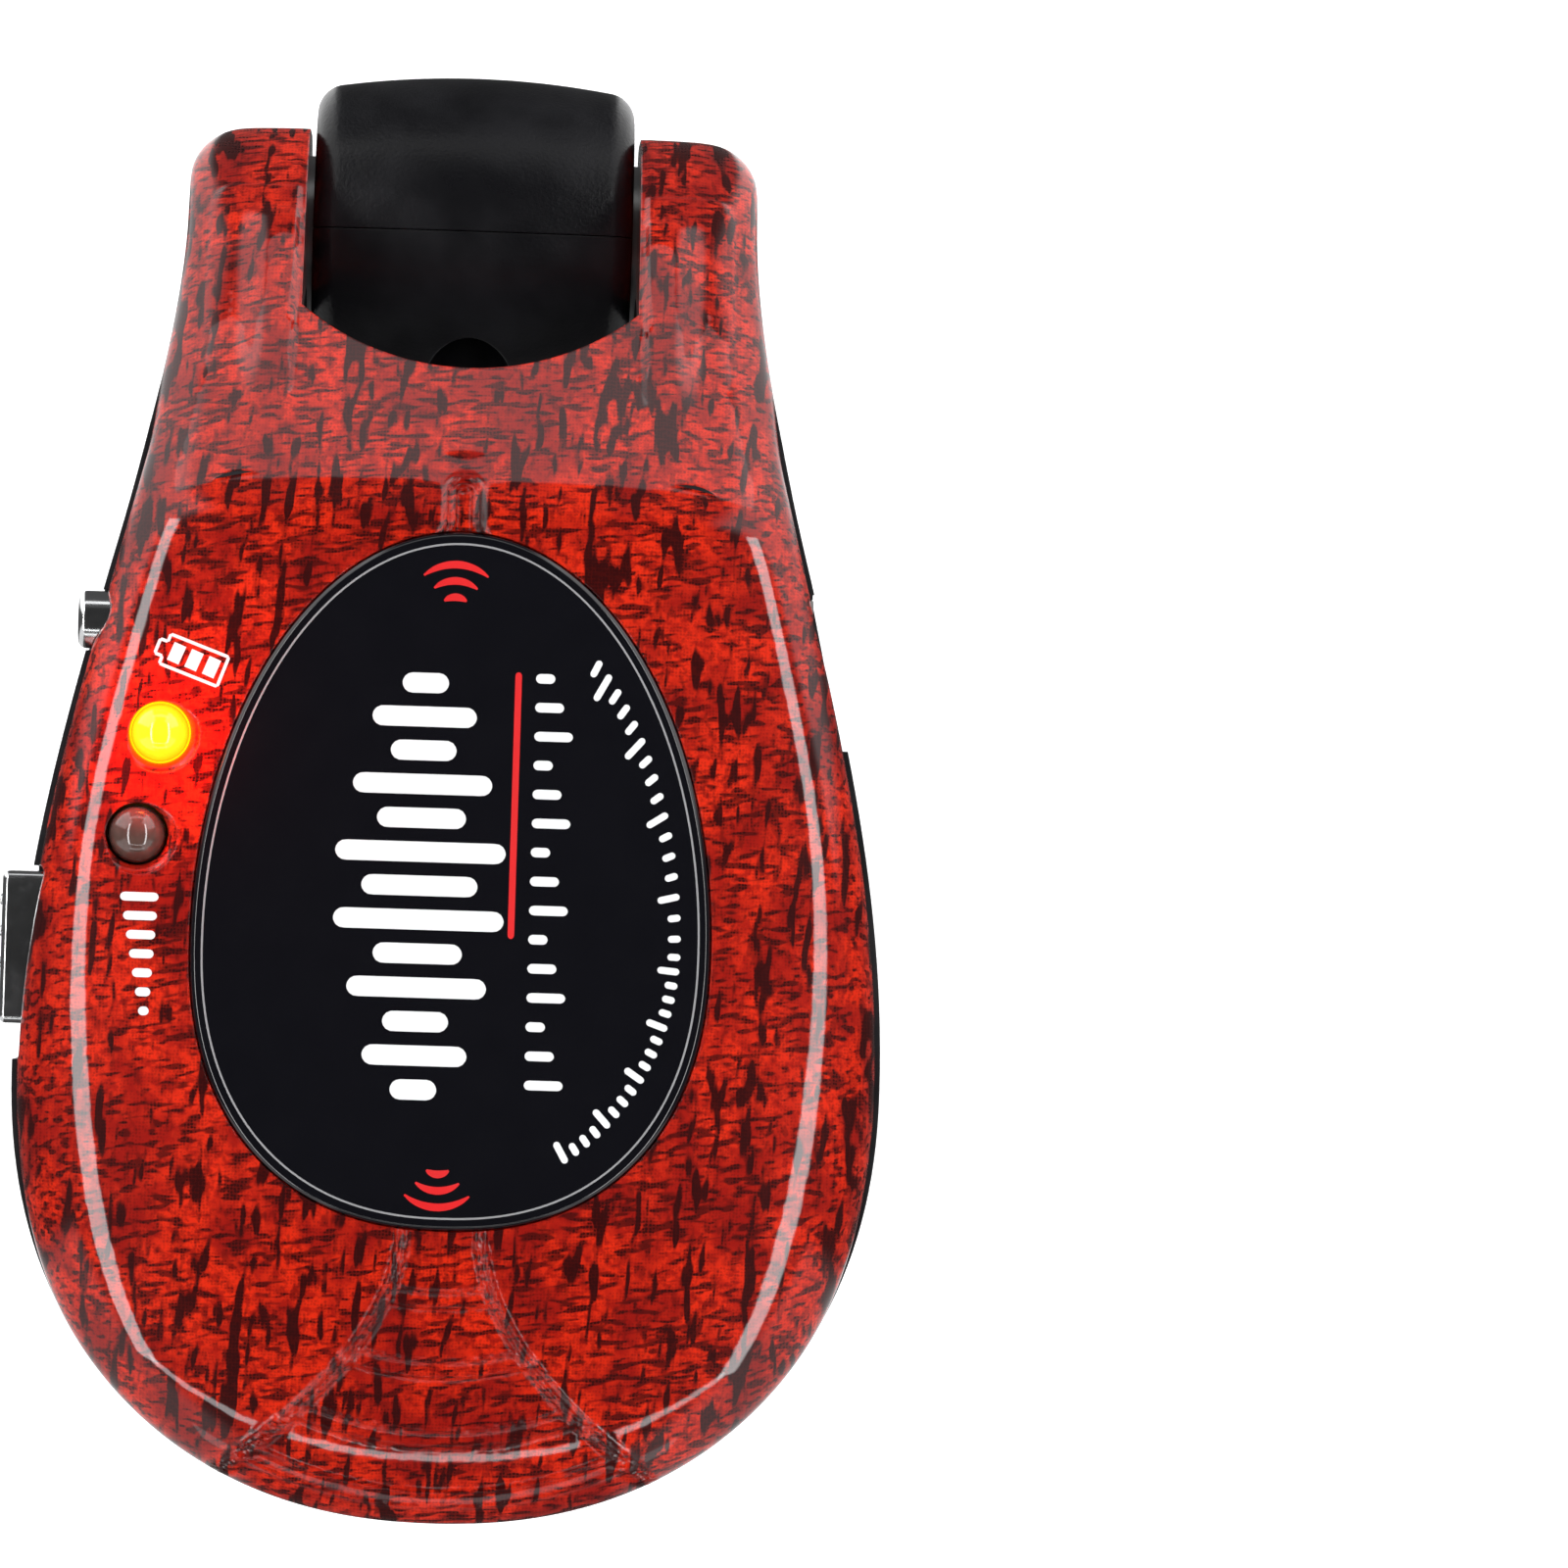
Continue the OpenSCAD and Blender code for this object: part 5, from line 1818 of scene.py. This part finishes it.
@dataclass(frozen=True)
class Knuckle:
    """The crowned knuckle of the hinge, split along its middle."""

    half_width: float = 8.6
    radius: float = 8.795
    crown: float = 0.8
    flat: float = 6.9
    neck: float = 6.74
    neck_end: float = 13.8
    arch_radius: float = 7.3
    arch_peak: float = 3.6
    rim: float = 1.25
    seam: float = 0.025
    screw_height: float = 4.5

    def distance(self, p: np.ndarray) -> np.ndarray:
        """Returns the signed distance from the knuckle's surface, measured about the hinge.

        Args:
            p: Points.

        Returns:
            The distances.
        """
        x, y, z = p[..., 0], p[..., 1], p[..., 2]
        barrel = self.both(np.hypot(y, z) - self.radius + self.crown * (x / self.half_width) ** 2,
                           np.abs(x) - self.half_width, self.rim)
        barrel = self.both(barrel, -self.flat - z, 1.5)
        tunnel = self.arch_radius - np.hypot(x, z + self.arch_radius + self.arch_peak)
        barrel = self.both(barrel, tunnel, 0.35)
        neck = np.maximum(np.hypot(x, y) - self.neck, z + 1.5)
        joined = self.either(barrel, neck, 0.7)
        return np.maximum(joined, self.neck_end - HINGE - z)

    @staticmethod
    def both(first: np.ndarray, second: np.ndarray, radius: float) -> np.ndarray:
        """Returns what two shapes share, with a round outer edge."""
        u, v = np.clip(first + radius, 0, None), np.clip(second + radius, 0, None)
        return np.minimum(np.maximum(first, second), -radius) + np.hypot(u, v)

    @staticmethod
    def either(first: np.ndarray, second: np.ndarray, radius: float) -> np.ndarray:
        """Returns two shapes put together, with a hollow fillet between them."""
        u, v = np.clip(radius - first, 0, None), np.clip(radius - second, 0, None)
        return np.maximum(np.minimum(first, second), radius) - np.hypot(u, v)

    def skin(self, around: int = 264, down: int = 190) -> Solid:
        """Casts rays from the hinge to the surface.

        Args:
            around: Directions round the plug's axis.
            down: Directions from top to bottom.

        Returns:
            The knuckle as a closed skin.
        """
        tilt = np.linspace(0, math.pi, down + 2)[1:-1]
        corner = math.pi - math.atan(self.neck / (HINGE - self.neck_end))
        tilt[np.argmin(np.abs(tilt - corner))] = corner
        turn = np.linspace(0, 2 * math.pi, around, endpoint=False)
        ray = np.stack([np.sin(tilt)[:, None] * np.cos(turn), np.sin(tilt)[:, None] * np.sin(turn),
                        np.repeat(np.cos(tilt)[:, None], around, 1)], axis=-1)
        low, high = np.full(ray.shape[:2], 3.0), np.full(ray.shape[:2], 15.0)
        for _ in range(34):
            middle = (low + high) / 2
            inside = self.distance(ray * middle[..., None]) < 0
            low, high = np.where(inside, middle, low), np.where(inside, high, middle)
        return loft(ray * high[..., None]).moved(0, 0, HINGE)

    def build(self, shop: Shop) -> None:
        """Makes both halves, hollow as the frame's are.

        Args:
            shop: The finishes.
        """
        whole = make_object("knuckle_skin", self.skin(), shop.satin)
        spigot = lathe([(0, 5.0), (5.2, 5.0), (5.4, 5.2), (5.4, 14.2), (0, 14.2)], 96)
        cut(whole, spigot, shop.satin, "UNION")
        cut(whole, rod(3.9, Axis.Z, 0, HINGE - 3.2), shop.satin)
        cut(whole, prism(rounded_box(9.0, 6.0, 0.4), Axis.Z, HINGE - 4, HINGE + 2.2), shop.satin)
        for low, high in ((-20, -4.4), (4.4, 20)):
            cut(whole, rod(3.05, Axis.X, low, high).moved(0, 0, HINGE), shop.satin)
        screw = HINGE + self.screw_height
        for name, sign in (("knuckle_front_half", -1), ("knuckle_rear_half", 1)):
            half = whole.copy()
            half.data = whole.data.copy()
            half.name = name
            bpy.context.scene.collection.objects.link(half)
            near, far = sorted((sign * self.seam, sign * 30))
            keep = prism(np.array([(-30, near), (30, near), (30, far), (-30, far)]), Axis.Z, -10, 60)
            cut(half, keep, shop.satin, "INTERSECT")
            if sign < 0:
                cut(half, rod(2.25, Axis.Y, -20, -3.6).moved(0, 0, screw), shop.satin)
                cut(half, rod(1.12, Axis.Y, -20, 1, 32).moved(0, 0, screw), shop.satin)
            else:
                cut(half, rod(1.0, Axis.Y, -1, 4.8, 32).moved(0, 0, screw), shop.satin)
            shade(half, 38)
            node = "knuckle_inner" if sign < 0 else "knuckle_outer"
            settle(half, "plug_arm", "black_satin", node)
        bpy.data.objects.remove(whole)


@dataclass(frozen=True)
class Plug:
    """The jack plug and the collar that holds it."""

    sleeve: float = 3.175
    root: float = 3.9
    sleeve_end: float = -22.7
    insulator: float = 1.8
    tip_end: float = -33.0
    collar: float = 6.7
    nose: float = 5.3
    collar_top: float = 13.8

    def collar_piece(self, shop: Shop) -> None:
        """Makes the tapered collar with its two round edges.

        Args:
            shop: The finishes.
        """
        nose_edge = [(self.nose - 0.32 * (1 - math.sin(a)), 0.32 * (1 - math.cos(a)))
                     for a in np.radians(np.linspace(0, 78, 6))]
        lip = [(self.collar - 0.2 * (1 - math.cos(a)), self.collar_top - 0.2 * (1 - math.sin(a)))
               for a in np.radians(np.linspace(0, 90, 5))]
        taper = [(self.nose + (self.collar - self.nose) * t, 0.3 + 5.7 * t) for t in (0.25, 0.5, 0.75, 0.96)]
        body = [(self.collar - 0.01, 6.15), (self.collar, 6.5), (self.collar, 10.0)]
        bore = [(5.43, self.collar_top), (5.43, 5.0), (4.6, 5.0), (4.6, 3.0),
                (self.root, 3.0), (self.root, 0.0)]
        turned = lathe(nose_edge + taper + body + lip + bore, 144, True)
        piece = make_object("tapered_collar", turned, shop.satin)
        shade(piece, 40)
        settle(piece, "plug_arm", "black_satin", "plug_collar")

    def sleeve_piece(self, shop: Shop) -> None:
        """Makes the sleeve with its hidden root.

        Args:
            shop: The finishes.
        """
        end = self.sleeve_end
        profile = [(2.1, end), (self.sleeve - 0.12, end), (self.sleeve - 0.03, end + 0.04),
                   (self.sleeve, end + 0.14), (self.sleeve, -10.0), (self.sleeve, 0.0), (self.root, 0.0),
                   (self.root, 3.0), (4.55, 3.0), (4.55, 5.0), (3.4, 5.0), (3.4, 7.5), (2.1, 7.5)]
        piece = make_object("nickel_sleeve", lathe(profile, 144, True), shop.nickel)
        shade(piece, 40)
        settle(piece, "plug_arm", "nickel", "plug_sleeve")

    def insulator_piece(self, shop: Shop) -> None:
        """Makes the black ring and the tube that lines the sleeve.

        Args:
            shop: The finishes.
        """
        low = self.sleeve_end - self.insulator
        top = self.sleeve_end - 0.02
        profile = [(1.0, low), (2.92, low), (2.98, low + 0.06), (2.98, top), (2.1, top),
                   (2.1, 7.5), (1.0, 7.5)]
        piece = make_object("insulator_ring", lathe(profile, 144, True), shop.insulator)
        shade(piece, 40)
        settle(piece, "plug_arm", "insulator_black", "plug_insulator")

    def tip_piece(self, shop: Shop) -> None:
        """Makes the tip: collar, smooth waist, bulge and blunt cone.

        Args:
            shop: The finishes.
        """
        start = self.sleeve_end - self.insulator
        knots = np.array([(0.92, 2.98), (1.2, 2.86), (1.74, 2.31), (2.2, 2.02), (2.54, 1.95), (2.95, 2.05),
                          (3.5, 2.36), (4.05, 2.70), (4.55, 2.91), (4.95, 2.965), (5.35, 2.93), (5.75, 2.74)])
        depth = np.linspace(knots[0, 0], knots[-1, 0], 46)
        width = np.interp(depth, knots[:, 0], knots[:, 1])
        for _ in range(3):
            width[1:-1] = (width[:-2] + 2 * width[1:-1] + width[2:]) / 4
        profile = [(1.0, start), (2.9, start), (2.98, start - 0.08), (2.98, start - 0.5)]
        profile += [(float(w), start - float(d)) for d, w in zip(depth, width)]
        profile += [(2.55, start - 5.98), (0.92, self.tip_end + 0.22), (0.74, self.tip_end + 0.03),
                    (0.55, self.tip_end), (0.0, self.tip_end), (0.0, -28.5), (1.0, -28.5)]
        piece = make_object("nickel_tip", lathe(profile, 144, True), shop.nickel)
        shade(piece, 32)
        settle(piece, "plug_arm", "nickel", "plug_tip")

    def build(self, shop: Shop) -> None:
        """Makes the collar, sleeve, ring and tip.

        Args:
            shop: The finishes.
        """
        self.collar_piece(shop)
        self.sleeve_piece(shop)
        self.insulator_piece(shop)
        self.tip_piece(shop)


# ---------------------------------------------------------------- studio


@dataclass(frozen=True)
class Studio:
    """Pale floor, soft panels, and a long lens over the front of the housing.

    Args:
        lens: Focal length on a 36 mm sensor, in millimetres.
        over: X and Y below the camera.
        camera_height: Height of the camera above the hinge axis.
        roll: Turn of the camera about its own view, in degrees.
        aside: Angle by which the camera looks past the object to the right, in degrees.
        lift: Angle by which the camera looks past the object upwards, in degrees.
    """

    lens: float = 227.25
    over: Spot = (0.0, -30.3)
    camera_height: float = 540.0
    roll: float = 1.8
    aside: float = 1.903
    lift: float = 0.068

    def camera(self) -> None:
        """Places the camera at the viewing angle of the front view."""
        data = bpy.data.cameras.new("camera")
        data.lens, data.sensor_width = self.lens, 36.0
        data.clip_start, data.clip_end = 0.02, 10.0
        made = bpy.data.objects.new("camera", data)
        bpy.context.scene.collection.objects.link(made)
        made.location = Vector((self.over[0], self.over[1], HINGE + self.camera_height)) * MM
        turn = Matrix.Rotation(math.radians(self.roll), 3, "Z")
        turn = turn @ Matrix.Rotation(math.radians(-self.aside), 3, "Y")
        turn = turn @ Matrix.Rotation(math.radians(self.lift), 3, "X")
        made.rotation_euler = turn.to_euler()
        bpy.context.scene.camera = made

    def panel(self, name: str, azimuth: float, elevation: float, distance: float,
              size: Spot, radiance: float, mirrored: bool = True) -> None:
        """Hangs a soft panel that faces the object.

        Args:
            name: Name of the light.
            azimuth: Direction in degrees, 0 towards +X and 90 towards +Y.
            elevation: Angle above the horizon.
            distance: Distance from the object in metres.
            size: Width and height in metres.
            radiance: Brightness of its face.
            mirrored: False for a light that shows in no reflection.
        """
        data = bpy.data.lights.new(name, "AREA")
        data.shape, data.size, data.size_y = "RECTANGLE", size[0], size[1]
        data.energy = radiance * math.pi * size[0] * size[1]
        made = bpy.data.objects.new(name, data)
        bpy.context.scene.collection.objects.link(made)
        a, e = math.radians(azimuth), math.radians(elevation)
        away = Vector((math.cos(a) * math.cos(e), math.sin(a) * math.cos(e), math.sin(e)))
        made.location = Vector((0, self.over[1] * MM, 0.04)) + away * distance
        made.rotation_euler = away.to_track_quat("Z", "Y").to_euler()
        made.visible_camera = False
        made.visible_glossy = mirrored

    def world(self) -> None:
        """Paints the room: pale to the camera, with soft upright panels in reflections."""
        world = bpy.data.worlds.new("studio")
        bpy.context.scene.world = world
        world.use_nodes = True
        nodes, links = world.node_tree.nodes, world.node_tree.links
        nodes.clear()

        def node(kind: str, **sockets: object) -> bpy.types.Node:
            """Adds a node and fills its sockets by number.

            Args:
                kind: Type of the node.
                sockets: Values or sockets.

            Returns:
                The node.
            """
            made = nodes.new(kind)
            for number, value in sockets.items():
                place = made.inputs[int(number[1:])]
                if isinstance(value, bpy.types.NodeSocket):
                    links.new(value, place)
                else:
                    place.default_value = value
            return made

        def maths(operation: str, *values: object) -> bpy.types.NodeSocket:
            """Adds a plain operation.

            Args:
                operation: Its name.
                values: Values or sockets.

            Returns:
                The result.
            """
            made = node("ShaderNodeMath", **{f"s{i}": v for i, v in enumerate(values)})
            made.operation = operation
            return made.outputs[0]

        def eased(value: object, low: float, high: float) -> bpy.types.NodeSocket:
            """Adds a smooth step.

            Args:
                value: Value or socket.
                low: Where it starts.
                high: Where it ends.

            Returns:
                The step.
            """
            made = node("ShaderNodeMapRange", s0=value, s1=low, s2=high)
            made.interpolation_type = "SMOOTHSTEP"
            return made.outputs[0]

        way = node("ShaderNodeSeparateXYZ", s0=node("ShaderNodeTexCoord").outputs["Generated"]).outputs
        round_it = maths("ARCTAN2", way[0], way[1])
        stripes = maths("COSINE", maths("MULTIPLY", round_it, 4.0))
        panels = maths("SUBTRACT", 1.0, eased(stripes, -0.25, 0.30))
        nearer = eased(way[1], -0.25, 0.05)
        strength = maths("ADD", maths("MULTIPLY", nearer, 0.75), 0.70)
        side = maths("ADD", maths("MULTIPLY", panels, strength), 0.07)
        high = eased(way[2], 0.60, 0.70)
        overhead = 0.022
        around = maths("MULTIPLY", side, maths("SUBTRACT", 1.0, high))
        level = maths("ADD", around, maths("MULTIPLY", high, overhead))
        light_path = node("ShaderNodeLightPath").outputs["Is Camera Ray"]
        room = node("ShaderNodeBackground", s0=(1.0, 1.0, 1.0, 1.0), s1=level)
        pale = node("ShaderNodeBackground", s0=(0.96, 0.96, 0.97, 1.0), s1=1.0)
        mixed = node("ShaderNodeMixShader", s0=light_path, s1=room.outputs[0], s2=pale.outputs[0])
        output = nodes.new("ShaderNodeOutputWorld")
        links.new(mixed.outputs[0], output.inputs[0])

    def floor(self) -> None:
        """Lays a plain pale floor under the tip of the plug."""
        dyer = Dyer("pale_floor")
        drift = dyer.noise((0.004, 0.004, 0.004), 2.0)
        tone = dyer.dye(drift, (0.90, 0.90, 0.905), (0.87, 0.87, 0.875))
        dyer.fit(Base_Color=tone, Roughness=0.9, Specular_IOR_Level=0.0,
                 Emission_Color=tone, Emission_Strength=0.6)
        level = CAD_BOX[0].z / MM - 0.4
        reach = 3000
        corners = np.array([(-reach, -reach, level), (reach, -reach, level),
                            (reach, reach, level), (-reach, reach, level)])
        floor = make_object("floor", Solid(corners, [[0, 1, 2, 3]]), dyer.material)
        floor.visible_glossy = False

    def build(self) -> None:
        """Sets up the camera, the room, the panels and the floor."""
        bpy.context.scene.view_settings.view_transform = "Standard"
        self.camera()
        self.world()
        self.floor()
        for name, azimuth in (("right_panel", 0.0), ("left_panel", 180.0)):
            self.panel(name, azimuth, 54, 0.50, (0.80, 0.055), 8.0)
        self.panel("hinge_end_panel", 90, 19, 0.50, (0.50, 0.105), 1.1)
        self.panel("round_end_panel", -90, 27, 0.50, (0.46, 0.07), 1.3)
        self.panel("round_end_strip", -90, 46, 0.50, (0.50, 0.014), 6.0)
        self.panel("fill_panel", 90, 82, 0.80, (0.5, 0.5), 2.4, False)


def main() -> None:
    """Builds every sub-assembly in order."""
    logging.basicConfig(level=logging.INFO, format="%(name)s: %(message)s")
    Studio().build()
    shop = Shop()
    Shells().build(shop)
    Marks().build(shop)
    Lights().build(shop)
    Controls().build(shop)
    Knuckle().build(shop)
    Plug().build(shop)
    bpy.context.view_layer.update()


if __name__ == "__main__":
    main()
